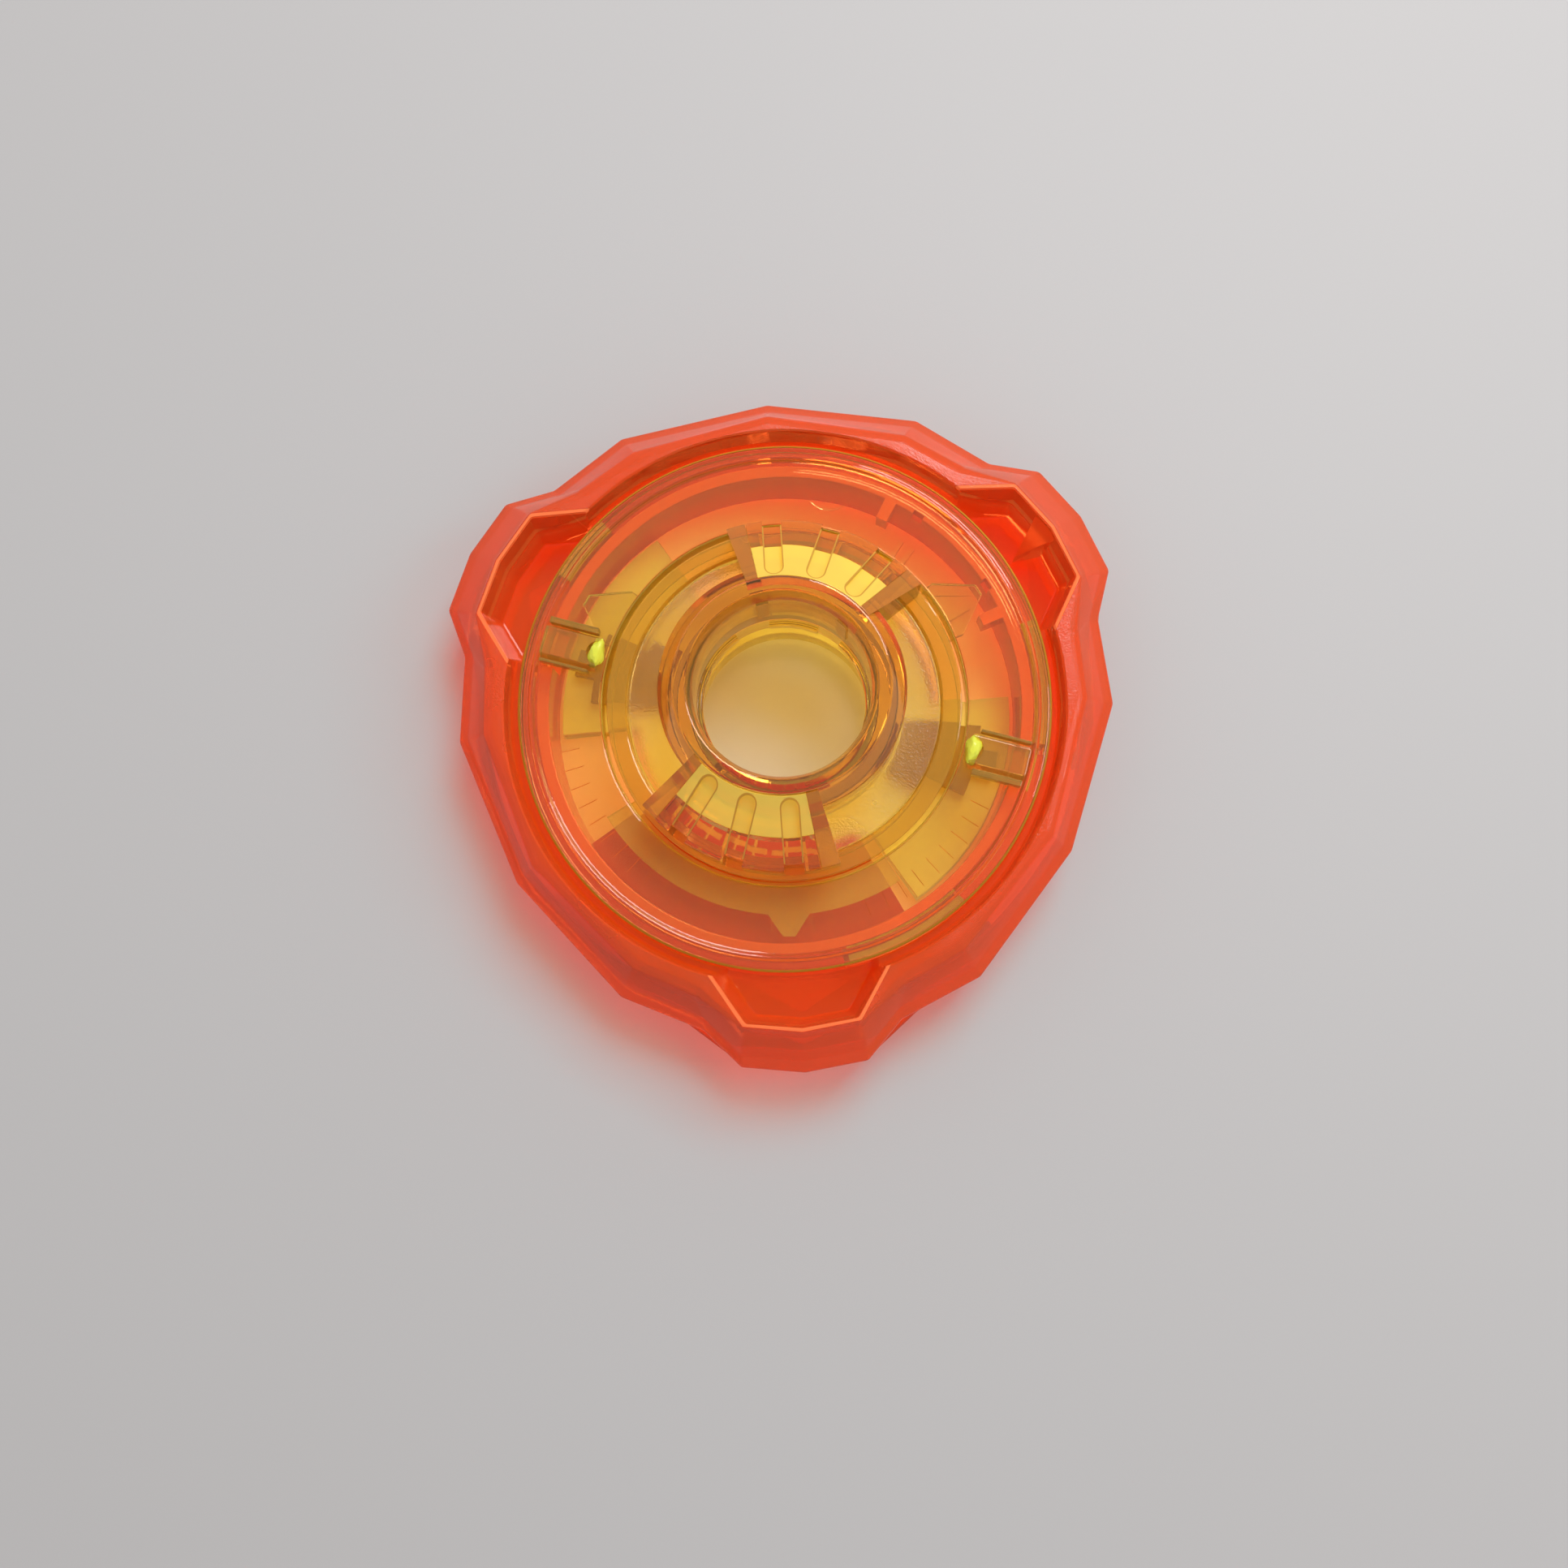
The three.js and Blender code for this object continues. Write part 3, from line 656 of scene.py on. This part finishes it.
def under_plate(material):
    """The annulus with its bead, an even row of ticks and two mould circles."""
    disc = turned(rounded([
        (PLATE_INNER_R + 0.13, PLATE_BASE), (PLATE_OUTER_R - 0.17, PLATE_BASE),
        (PLATE_OUTER_R - 0.17, PLATE_Z), (BEAD_R + 0.22, PLATE_Z), (BEAD_R + 0.1, PLATE_Z + 0.22),
        (BEAD_R - 0.1, PLATE_Z + 0.22), (BEAD_R - 0.22, PLATE_Z), (PLATE_INNER_R + 0.13, PLATE_Z),
    ], 0.1))
    ticks = [radial_bar(*TICK_R, TICK_WIDTH, a, PLATE_Z - 0.2, PLATE_Z + 0.14, 0.05)
             for a in TICK_ANGLES]
    circles = []
    for a in MOULD_CIRCLE_ANGLES:
        inner, outer, low, high = MOULD_CIRCLE_R, MOULD_CIRCLE_R + 0.1, PLATE_Z - 0.2, PLATE_Z + 0.05
        circle = turned([(inner, low), (outer, low), (outer, high), (inner, high)], 48)
        circle.data.transform(Matrix.Translation((*at(MOULD_CIRCLE_PLACE_R, a), 0)))
        circles.append(keep(circle, [turned([(12.2, 7), (16.3, 7), (16.3, 9), (12.2, 9)])]))
    join(disc, ticks + circles)
    return piece(disc, "under_plate_clear", "under_plate", "shell", material)


# ---- Mode dial ----------------------------------------------------------------------

def dial_body():
    """The tube with its bore and lip, the skirt below it and the floor round it."""
    return turned(rounded([
        (BORE_LIP_R, 6.1), (BORE_LIP_R, LIP_Z), (BORE_R, LIP_Z + 0.1), (BORE_R, BORE_TAPER_Z),
        (BORE_MOUTH_R, TUBE_TOP), (TUBE_TOP_R, TUBE_TOP), (TUBE_R, TUBE_SHOULDER_Z), (TUBE_R, FLOOR_Z),
        (COLLAR_INNER_R, FLOOR_Z), (COLLAR_INNER_R, FLOOR_BASE), (7.2, FLOOR_BASE),
        (7.0, SKIRT_BASE), (6.2, SKIRT_BASE),
    ], 0.1))


def dial_collar(material):
    """The collar round the dial's floor."""
    body = turned(rounded([
        (COLLAR_INNER_R + GAP, FLOOR_Z), (COLLAR_INNER_R + 0.15, PLATE_Z), (DIAL_R, PLATE_Z),
        (DIAL_R, COLLAR_BASE), (10.5, COLLAR_BASE), (COLLAR_INNER_R + GAP, FLOOR_BASE),
    ], 0.1))
    return piece(body, "dial_collar", None, "dial", material)


def dial_pointers(material):
    """The dial's two outer pointers."""
    for name, angle in (("east", POINTERS[0]), ("west", POINTERS[1])):
        body = cut(pointer(angle), [plug(DIAL_R + GAP, 0, 9)])
        piece(soften(body, 0.05), "dial_pointer_" + name, None, "dial", material)


def arc_height(r):
    """How high the arcs' sloping face stands at a radius."""
    return ARC_ROOT_Z - ARC_SLOPE * (r - TUBE_TOP_R)


def arc_block(angle, a0, a1):
    """A block between two angles from an arc's middle, under the arc's sloping face."""
    cone = turned(rounded([
        (6.9, FLOOR_Z - 0.3), (ARC_R, FLOOR_Z - 0.3), (ARC_R, ARC_EDGE_Z - 0.15),
        (ARC_R - 0.15, ARC_EDGE_Z), (TUBE_TOP_R + 0.1, ARC_ROOT_Z), (6.9, ARC_ROOT_Z - 0.1),
    ], 0.08))
    return keep(cone, [sector(4, 14, angle + a0, angle + a1, 0, 20)])


def tube_core():
    """What the tube fills where it passes the arcs: its full wall below, its top's width above."""
    return turned([
        (0, 0), (TUBE_R + HAIR, 0), (TUBE_R + HAIR, ROOF_Z), (TUBE_TOP_R + 0.06, ROOF_Z),
        (TUBE_TOP_R + 0.06, 20), (0, 20),
    ])


def arc_cells(angle):
    """The hollows under an arc's roof, open downwards, with thin webs between them."""
    inner_z, outer_z = arc_height(CELL_INNER_R) - ROOF, arc_height(COLLAR_INNER_R) - ROOF
    cells = []
    for a0, a1 in CELL_SPANS:
        ring = turned([
            (CELL_INNER_R, 5), (COLLAR_INNER_R, 5), (COLLAR_INNER_R, outer_z), (CELL_INNER_R, inner_z),
        ])
        cells.append(keep(ring, [sector(4, 14, angle + a0, angle + a1, 0, 20)]))
    return cells


def slot_cutter(angle):
    """A slot with a round inner end, whose floor follows the arc's sloping face."""
    half = SLOT_WIDTH / 2
    turns = [math.pi / 2 + math.pi * i / 12 for i in range(13)]
    flat = [(14, -half), (14, half)]
    flat += [(SLOT_ROOT_R + half + half * math.cos(t), half * math.sin(t)) for t in turns]
    points = []
    for lift in (0, 4):
        heights = [arc_height(x) - SLOT_DEPTH + lift for x, _ in flat]
        points += [(x, y, z) for (x, y), z in zip(spun(flat, angle), heights)]
    n = len(flat)
    faces = [tuple(range(n)), tuple(range(n, 2 * n))]
    faces += [(i, (i + 1) % n, n + (i + 1) % n, n + i) for i in range(n)]
    return solid(points, faces)


def pointer(angle):
    return prism([at(r, angle + a) for r, a in POINTER_SHAPE], FLANGE_BASE, FLANGE_TOP)


def dial_flange(material):
    """The dial's flange with its middle pointer, under the plate."""
    flange = sector(FLANGE_INNER_R, FLANGE_R, *FLANGE_SPAN, FLANGE_BASE, FLANGE_TOP)
    cut(join(flange, [pointer(POINTERS[2])]), [plug(DIAL_R + GAP, 0, 9)])
    return piece(flange, "dial_flange", None, "dial", material)


def arc_roofs(material):
    """The inner half of each arc's sloping roof, in a hazier, brighter yellow that is a painted glow."""
    for side, angle in zip(("north", "south"), ARC_ANGLES):
        roof = arc_block(angle, -END_FROM, END_FROM)
        cut(roof, [slot_cutter(angle + a) for a in SLOT_ANGLES])
        cut(roof, [tube_core()])
        keep(roof, [plug(ROOF_R, ROOF_Z, 20)])
        piece(roof, "arc_roof_" + side, None, "dial", material)


def bore_pads(material):
    """Two thin pads on the wall of the bore."""
    for hand, a0, a1 in PAD_SPANS:
        pad = sector(BORE_R - 0.14, BORE_R - HAIR, a0, a1, *PAD_Z)
        piece(pad, "bore_pad_" + hand, None, "dial", material)


def arc_ends(material):
    """The solid walls that close both ends of each toothed arc."""
    for side, angle in zip(("north", "south"), ARC_ANGLES):
        ends = (("first", -ARC_HALF, -END_FROM - 0.2), ("last", END_FROM + 0.2, ARC_HALF))
        for hand, a0, a1 in ends:
            wall = arc_block(angle, a0, a1)
            cut(wall, [tube_core()])
            cut(wall, [plug(20, 0, PLATE_Z + GAP)])
            piece(wall, "arc_end_" + side + "_" + hand, None, "dial", material)


def shaded_slot_linings(material):
    """The thin drafted edge round each slot of the arcs, in a darker amber that is painted shade along
    the slot's wall.
    """
    half = SLOT_WIDTH / 2
    turns = [math.pi / 2 + math.pi * i / 16 for i in range(17)]
    path = [(SHADE_LINE_OUTER_R, half)]
    path += [(SLOT_ROOT_R + half + half * math.cos(t), half * math.sin(t)) for t in turns]
    path += [(SHADE_LINE_OUTER_R, -half)]
    last = len(path) - 1
    slots = [arc + slot for arc in ARC_ANGLES for slot in SLOT_ANGLES]
    for count, angle in enumerate(slots, 1):
        c, s = at(1, angle)
        points, faces = [], []
        for i, (x, y) in enumerate(path):
            inward = Vector((SLOT_ROOT_R + half, 0)) - Vector((x, y))
            if i in (0, last):
                inward = Vector((0, -y))
            inward = inward.normalized() * SHADE_LINE_WIDTH
            for px, py in ((x, y), (x + inward.x, y + inward.y)):
                for lift in (-SLOT_DEPTH + HAIR, -GAP):
                    points.append((px * c - py * s, px * s + py * c, arc_height(px) + lift))
        for i in range(last):
            a, b = i * 4, i * 4 + 4
            faces += [(a, b, b + 1, a + 1), (a + 1, b + 1, b + 3, a + 3)]
            faces += [(a + 3, b + 3, b + 2, a + 2), (a + 2, b + 2, b, a)]
        end = last * 4
        faces += [(0, 1, 3, 2), (end, end + 2, end + 3, end + 1)]
        name = "slot_lining_shade_" + str(count)
        piece(solid(points, faces), name, None, "dial", material)


def arc_teeth(material):
    """Both arcs' slotted walls and outer roofs, standing on the dial's floor and collar."""
    slots, cells = [], []
    for angle in ARC_ANGLES:
        slot_angles = [angle + a for a in SLOT_ANGLES]
        slots += [slot_cutter(a) for a in slot_angles]
        slots += [radial_bar(ARC_R - SLOT_DEPTH, 13, SLOT_WIDTH, a, PLATE_Z + 0.4, 14)
                  for a in slot_angles]
        cells += arc_cells(angle)
    north, south = [arc_block(angle, -END_FROM, END_FROM) for angle in ARC_ANGLES]
    arcs = join(north, [south])
    roofs = turned([(6, ROOF_Z - GAP), (ROOF_R + GAP, ROOF_Z - GAP), (ROOF_R + GAP, 20), (6, 20)])
    below = turned([
        (0, 5), (14, 5), (14, PLATE_Z + GAP), (COLLAR_INNER_R + HAIR, PLATE_Z + GAP),
        (COLLAR_INNER_R + HAIR, FLOOR_Z + GAP), (0, FLOOR_Z + GAP),
    ])
    cut(arcs, slots + cells + [roofs, tube_core(), below])
    return piece(arcs, "arc_teeth", None, "dial", material)


def mode_dial(material):
    """The tube and floor, notched for the arcs' roofs and hollow under the arcs."""
    body = dial_body()
    half = ARC_HALF + 0.1
    notches = [sector(TUBE_TOP_R + GAP, TUBE_R + 0.06, a - half, a + half, ROOF_Z - GAP, 20)
               for a in ARC_ANGLES]
    cells = arc_cells(ARC_ANGLES[0]) + arc_cells(ARC_ANGLES[1])
    lip_flats = [sector(5.0, BORE_R, a0, a1, 5.5, LIP_Z + 0.2) for a0, a1 in LIP_FLATS]
    cut(body, notches + cells + lip_flats)
    return piece(body, "mode_dial_clear", "mode_dial", "dial", material)


# ---- Materials ----------------------------------------------------------------------

PLASTIC_IOR = 1.42
SMUDGE_SCALE = 260
WAVE_SCALE = 330
WAVE_STRENGTH = 0.12
WAVE_HEIGHT = 0.0001
GRAIN_SCALE = 5200
GRAIN_STRENGTH = 0.05
GRAIN_HEIGHT = 0.00003
FROST_ROUGHNESS = 0.4
PATCH_SCALE = 140
PIT_SCALE = 7000
PIT_HEIGHT = 0.00008


def clear_plastic(name, tint, haze, shadow, rough, depth, density, shine=0.35):
    """Clear moulded plastic: tinted, more or less hazy, with flow waves and a fine surface grain.

    The shadow is the tint of the light it lets through, and depth and density tint its inside.
    """
    material = bpy.data.materials.new(name)
    material.use_nodes = True
    tree = material.node_tree
    shader = tree.nodes["Principled BSDF"]
    shader.inputs["Base Color"].default_value = (*tint, 1)
    shader.inputs["Transmission Weight"].default_value = 1 - haze
    shader.inputs["IOR"].default_value = PLASTIC_IOR
    shader.inputs["Specular IOR Level"].default_value = shine
    place = tree.nodes.new("ShaderNodeTexCoord")

    def noise(scale, detail):
        node = tree.nodes.new("ShaderNodeTexNoise")
        node.inputs["Scale"].default_value = scale
        node.inputs["Detail"].default_value = detail
        tree.links.new(place.outputs["Object"], node.inputs["Vector"])
        return node

    smudge = noise(SMUDGE_SCALE, 3)
    spread = tree.nodes.new("ShaderNodeMapRange")
    spread.inputs["To Min"].default_value = rough * 0.5
    spread.inputs["To Max"].default_value = rough * 1.6
    tree.links.new(smudge.outputs["Fac"], spread.inputs["Value"])
    tree.links.new(spread.outputs["Result"], shader.inputs["Roughness"])
    wave = tree.nodes.new("ShaderNodeBump")
    wave.inputs["Strength"].default_value = WAVE_STRENGTH
    wave.inputs["Distance"].default_value = WAVE_HEIGHT
    tree.links.new(noise(WAVE_SCALE, 1).outputs["Fac"], wave.inputs["Height"])
    grain = tree.nodes.new("ShaderNodeBump")
    grain.inputs["Strength"].default_value = GRAIN_STRENGTH
    grain.inputs["Distance"].default_value = GRAIN_HEIGHT
    tree.links.new(noise(GRAIN_SCALE, 2).outputs["Fac"], grain.inputs["Height"])
    tree.links.new(wave.outputs["Normal"], grain.inputs["Normal"])
    tree.links.new(grain.outputs["Normal"], shader.inputs["Normal"])
    through = tree.nodes.new("ShaderNodeBsdfTransparent")
    through.inputs["Color"].default_value = (*shadow, 1)
    path = tree.nodes.new("ShaderNodeLightPath")
    mix = tree.nodes.new("ShaderNodeMixShader")
    tree.links.new(path.outputs["Is Shadow Ray"], mix.inputs["Fac"])
    tree.links.new(shader.outputs["BSDF"], mix.inputs[1])
    tree.links.new(through.outputs["BSDF"], mix.inputs[2])
    tree.links.new(mix.outputs["Shader"], tree.nodes["Material Output"].inputs["Surface"])
    inside = tree.nodes.new("ShaderNodeVolumeAbsorption")
    inside.inputs["Color"].default_value = (*depth, 1)
    inside.inputs["Density"].default_value = density
    tree.links.new(inside.outputs["Volume"], tree.nodes["Material Output"].inputs["Volume"])
    return material


def frost(material, low, high):
    """Roughens what lies between two heights, in patches, as a spark-eroded mould leaves it."""
    tree = material.node_tree
    shader = tree.nodes["Principled BSDF"]
    place = tree.nodes.new("ShaderNodeTexCoord")
    parts = tree.nodes.new("ShaderNodeSeparateXYZ")
    tree.links.new(place.outputs["Object"], parts.inputs["Vector"])
    above = tree.nodes.new("ShaderNodeMath")
    above.operation = "COMPARE"
    above.inputs[1].default_value = (low + high) / 2 * MM
    above.inputs[2].default_value = (high - low) / 2 * MM
    tree.links.new(parts.outputs["Z"], above.inputs[0])
    patches = tree.nodes.new("ShaderNodeTexNoise")
    patches.inputs["Scale"].default_value = PATCH_SCALE
    tree.links.new(place.outputs["Object"], patches.inputs["Vector"])
    amount = tree.nodes.new("ShaderNodeMath")
    amount.operation = "MULTIPLY"
    tree.links.new(above.outputs["Value"], amount.inputs[0])
    tree.links.new(patches.outputs["Fac"], amount.inputs[1])
    rough = tree.nodes.new("ShaderNodeMath")
    rough.operation = "MULTIPLY_ADD"
    rough.inputs[1].default_value = FROST_ROUGHNESS
    tree.links.new(amount.outputs["Value"], rough.inputs[0])
    tree.links.new(shader.inputs["Roughness"].links[0].from_socket, rough.inputs[2])
    tree.links.new(rough.outputs["Value"], shader.inputs["Roughness"])
    specks = tree.nodes.new("ShaderNodeTexNoise")
    specks.inputs["Scale"].default_value = PIT_SCALE
    specks.inputs["Detail"].default_value = 3
    tree.links.new(place.outputs["Object"], specks.inputs["Vector"])
    pits = tree.nodes.new("ShaderNodeBump")
    pits.inputs["Distance"].default_value = PIT_HEIGHT
    tree.links.new(amount.outputs["Value"], pits.inputs["Strength"])
    tree.links.new(specks.outputs["Fac"], pits.inputs["Height"])
    tree.links.new(shader.inputs["Normal"].links[0].from_socket, pits.inputs["Normal"])
    tree.links.new(pits.outputs["Normal"], shader.inputs["Normal"])


# ---- Stage --------------------------------------------------------------------------

FLOOR_HALF = 2.0
FLOOR_COLOUR = (0.45, 0.44, 0.44, 1)
FLOOR_ROUGHNESS = 0.65
WALL_COLOUR = (1, 0.98, 0.97, 1)
CEILING_COLOUR = (0.4, 0.39, 0.38, 1)
WALL_UP_TO = 0.72
CEILING_FROM = 0.93
SKY_STRENGTH = 0.6
LENS = 35.76
SENSOR_WIDTH = 36
CAMERA_MM = (2.14, -18.48, 108.03)
TARGET_MM = (-0.01, -5.35, 7.6)
CAMERA_UP = (0.004, 1, 0)
BOUNCES = 24


def floor():
    half = FLOOR_HALF
    corners = [(-half, -half, 0), (half, -half, 0), (half, half, 0), (-half, half, 0)]
    mesh = bpy.data.meshes.new("floor")
    mesh.from_pydata(corners, [], [(0, 1, 2, 3)])
    ob = bpy.data.objects.new("floor", mesh)
    bpy.context.scene.collection.objects.link(ob)
    material = bpy.data.materials.new("pale_floor")
    material.use_nodes = True
    shader = material.node_tree.nodes["Principled BSDF"]
    shader.inputs["Base Color"].default_value = FLOOR_COLOUR
    shader.inputs["Roughness"].default_value = FLOOR_ROUGHNESS
    mesh.materials.append(material)


def light(name, azimuth, elevation, distance, size, power):
    lamp = bpy.data.lights.new(name, "AREA")
    lamp.size = size
    lamp.energy = power
    ob = bpy.data.objects.new(name, lamp)
    bpy.context.scene.collection.objects.link(ob)
    x, y = at(distance * math.cos(math.radians(elevation)), azimuth)
    ob.location = (x, y, distance * math.sin(math.radians(elevation)))
    ob.rotation_euler = ob.location.to_track_quat("Z", "Y").to_euler()


def studio():
    """Pale walls all round, with a dimmer ceiling, a large key light and a small window."""
    world = bpy.data.worlds.new("studio")
    world.use_nodes = True
    tree = world.node_tree
    sky = tree.nodes["Background"]
    place = tree.nodes.new("ShaderNodeTexCoord")
    parts = tree.nodes.new("ShaderNodeSeparateXYZ")
    ramp = tree.nodes.new("ShaderNodeValToRGB")
    tree.links.new(place.outputs["Generated"], parts.inputs["Vector"])
    tree.links.new(parts.outputs["Z"], ramp.inputs["Fac"])
    ramp.color_ramp.elements[0].position = WALL_UP_TO
    ramp.color_ramp.elements[0].color = WALL_COLOUR
    ramp.color_ramp.elements[1].position = CEILING_FROM
    ramp.color_ramp.elements[1].color = CEILING_COLOUR
    tree.links.new(ramp.outputs["Color"], sky.inputs["Color"])
    sky.inputs["Strength"].default_value = SKY_STRENGTH
    bpy.context.scene.world = world
    light("key", azimuth=60, elevation=55, distance=0.42, size=0.2, power=1.45)
    light("window", azimuth=5, elevation=40, distance=0.8, size=0.25, power=1.0)


def camera():
    data = bpy.data.cameras.new("camera")
    data.sensor_width = SENSOR_WIDTH
    data.lens = LENS
    data.clip_start = 0.001
    ob = bpy.data.objects.new("camera", data)
    bpy.context.scene.collection.objects.link(ob)
    place = Vector(CAMERA_MM) * MM
    target = Vector(TARGET_MM) * MM
    ahead = (target - place).normalized()
    right = ahead.cross(Vector(CAMERA_UP)).normalized()
    up = right.cross(ahead)
    ob.matrix_world = Matrix.Translation(place) @ Matrix((right, up, -ahead)).transposed().to_4x4()
    bpy.context.scene.camera = ob


def render_settings():
    scene = bpy.context.scene
    scene.view_settings.view_transform = "Standard"
    scene.cycles.max_bounces = BOUNCES
    scene.cycles.transmission_bounces = BOUNCES
    scene.cycles.transparent_max_bounces = BOUNCES
    scene.cycles.caustics_reflective = False
    scene.cycles.caustics_refractive = True
    scene.cycles.use_denoising = True


# ---- The scene ----------------------------------------------------------------------
# Each plastic: name, tint, haze, shadow, roughness, depth, density and, for some, shine.

ORANGE = clear_plastic(
    "orange_clear", (0.82, 0.19, 0.04), 0.27, (0.97, 0.56, 0.42), 0.03, (1, 0.3, 0.05), 60, 0.05,
)
frost(ORANGE, RIM_Z - 0.14, RIM_Z + 0.1)
# A paler, hazier orange on the pockets' top edges: a painted highlight.
PEACH_HIGHLIGHT = clear_plastic(
    "orange_edge_highlight", (0.92, 0.27, 0.09), 0.6, (0.97, 0.6, 0.45), 0.05, (1, 0.4, 0.1), 30, 0.1,
)
# A brighter, hazier orange for the index ring's wall: a painted glow of the light it carries.
VIVID_GLOW = clear_plastic(
    "orange_wall_glow", (0.8, 0.13, 0.035), 0.55, (0.97, 0.55, 0.4), 0.03, (1, 0.3, 0.05), 30, 0.1,
)
DEEP = clear_plastic(
    "orange_inner", (0.62, 0.08, 0.03), 0.45, (0.9, 0.42, 0.3), 0.03, (1, 0.3, 0.05), 60, 0.1,
)
# The cover floor's pale orange: partly the plastic's scatter, partly painted light that makes up for the
# light it gets through the plate.
CORAL_LIT = clear_plastic(
    "orange_cover_lit", (0.95, 0.62, 0.42), 0.7, (0.95, 0.6, 0.45), 0.03, (1, 0.4, 0.1), 60, 0.1,
)
YELLOW = clear_plastic(
    "yellow_clear", (0.87, 0.82, 0.48), 0.03, (0.94, 0.9, 0.78), 0.03, (0.94, 0.66, 0.08), 220,
)
frost(YELLOW, FLOOR_Z - 0.06, FLOOR_Z + 0.06)
ARC = clear_plastic(
    "yellow_arc", (0.9, 0.56, 0.18), 0.04, (0.94, 0.9, 0.7), 0.03, (0.94, 0.66, 0.08), 180,
)
AMBER = clear_plastic(
    "yellow_core", (0.87, 0.84, 0.34), 0.4, (0.95, 0.9, 0.65), 0.03, (0.93, 0.7, 0.1), 150,
)
# A hazier, brighter yellow for the arcs' roofs: a painted glow.
GLOW = clear_plastic(
    "yellow_roof_glow", (0.95, 0.85, 0.16), 0.42, (0.97, 0.93, 0.6), 0.03, (0.93, 0.6, 0.05), 250,
)
COLLAR = clear_plastic(
    "yellow_collar", (0.76, 0.56, 0.09), 0.22, (0.96, 0.9, 0.6), 0.03, (0.93, 0.6, 0.05), 150,
)
FLANGE = clear_plastic(
    "yellow_flange", (0.8, 0.66, 0.22), 0.18, (0.95, 0.9, 0.65), 0.03, (0.93, 0.7, 0.1), 150,
)
TAN = clear_plastic(
    "yellow_wall", (0.75, 0.46, 0.1), 0.15, (0.9, 0.75, 0.4), 0.03, (0.9, 0.6, 0.1), 200,
)
RIB = clear_plastic(
    "yellow_rib", (0.68, 0.48, 0.14), 0.15, (0.93, 0.85, 0.5), 0.03, (0.9, 0.6, 0.1), 150,
)
# Darker amber lining the arcs' slots: painted shade along their walls.
SLOT_SHADE = clear_plastic(
    "yellow_slot_shade", (0.62, 0.38, 0.06), 0.5, (0.9, 0.75, 0.4), 0.05, (0.9, 0.6, 0.1), 200,
)
# Dark brown for the bosses and the rib's side walls: painted shade.
PAINTED_SHADE_BROWN = clear_plastic(
    "yellow_painted_shade", (0.5, 0.32, 0.07), 0.35, (0.8, 0.65, 0.3), 0.03, (0.9, 0.6, 0.1), 200,
)
LUMP = clear_plastic(
    "yellow_gate", (0.75, 0.8, 0.08), 0.8, (0.95, 0.93, 0.5), 0.12, (0.93, 0.75, 0.1), 100,
)
# Yellow of the plate's outer rim strip: a painted edge glow.
LIME_GLOW = clear_plastic(
    "yellow_rim_glow", (0.6, 0.38, 0.05), 0.4, (0.95, 0.9, 0.5), 0.05, (0.93, 0.75, 0.1), 100,
)

camera()
floor()
studio()
render_settings()
face_cover(CORAL_LIT, ORANGE)
face_core(AMBER)
index_ring(DEEP, VIVID_GLOW)
blade_ring(ORANGE, PEACH_HIGHLIGHT)
under_plate(YELLOW)
for side, rib_angle in zip(("west", "east"), RIB_ANGLES):
    core_boss("core_boss_" + side, rib_angle, PAINTED_SHADE_BROWN)
    piece(plate_rib(rib_angle), "plate_rib_" + side, None, "shell", RIB)
    shaded_rib_walls("rib_side_" + side, rib_angle, PAINTED_SHADE_BROWN)
    piece(gate_stub(rib_angle), "gate_lump_" + side, None, "shell", LUMP)
mode_dial(YELLOW)
arc_teeth(ARC)
dial_flange(FLANGE)
arc_roofs(GLOW)
dial_collar(COLLAR)
dial_pointers(YELLOW)
bore_pads(TAN)
# The inner rim strip borrows the collar's yellow as its painted edge glow.
painted_rim_glows(LIME_GLOW, COLLAR)
plate_legs(FLANGE)
arc_ends(TAN)
shaded_slot_linings(SLOT_SHADE)
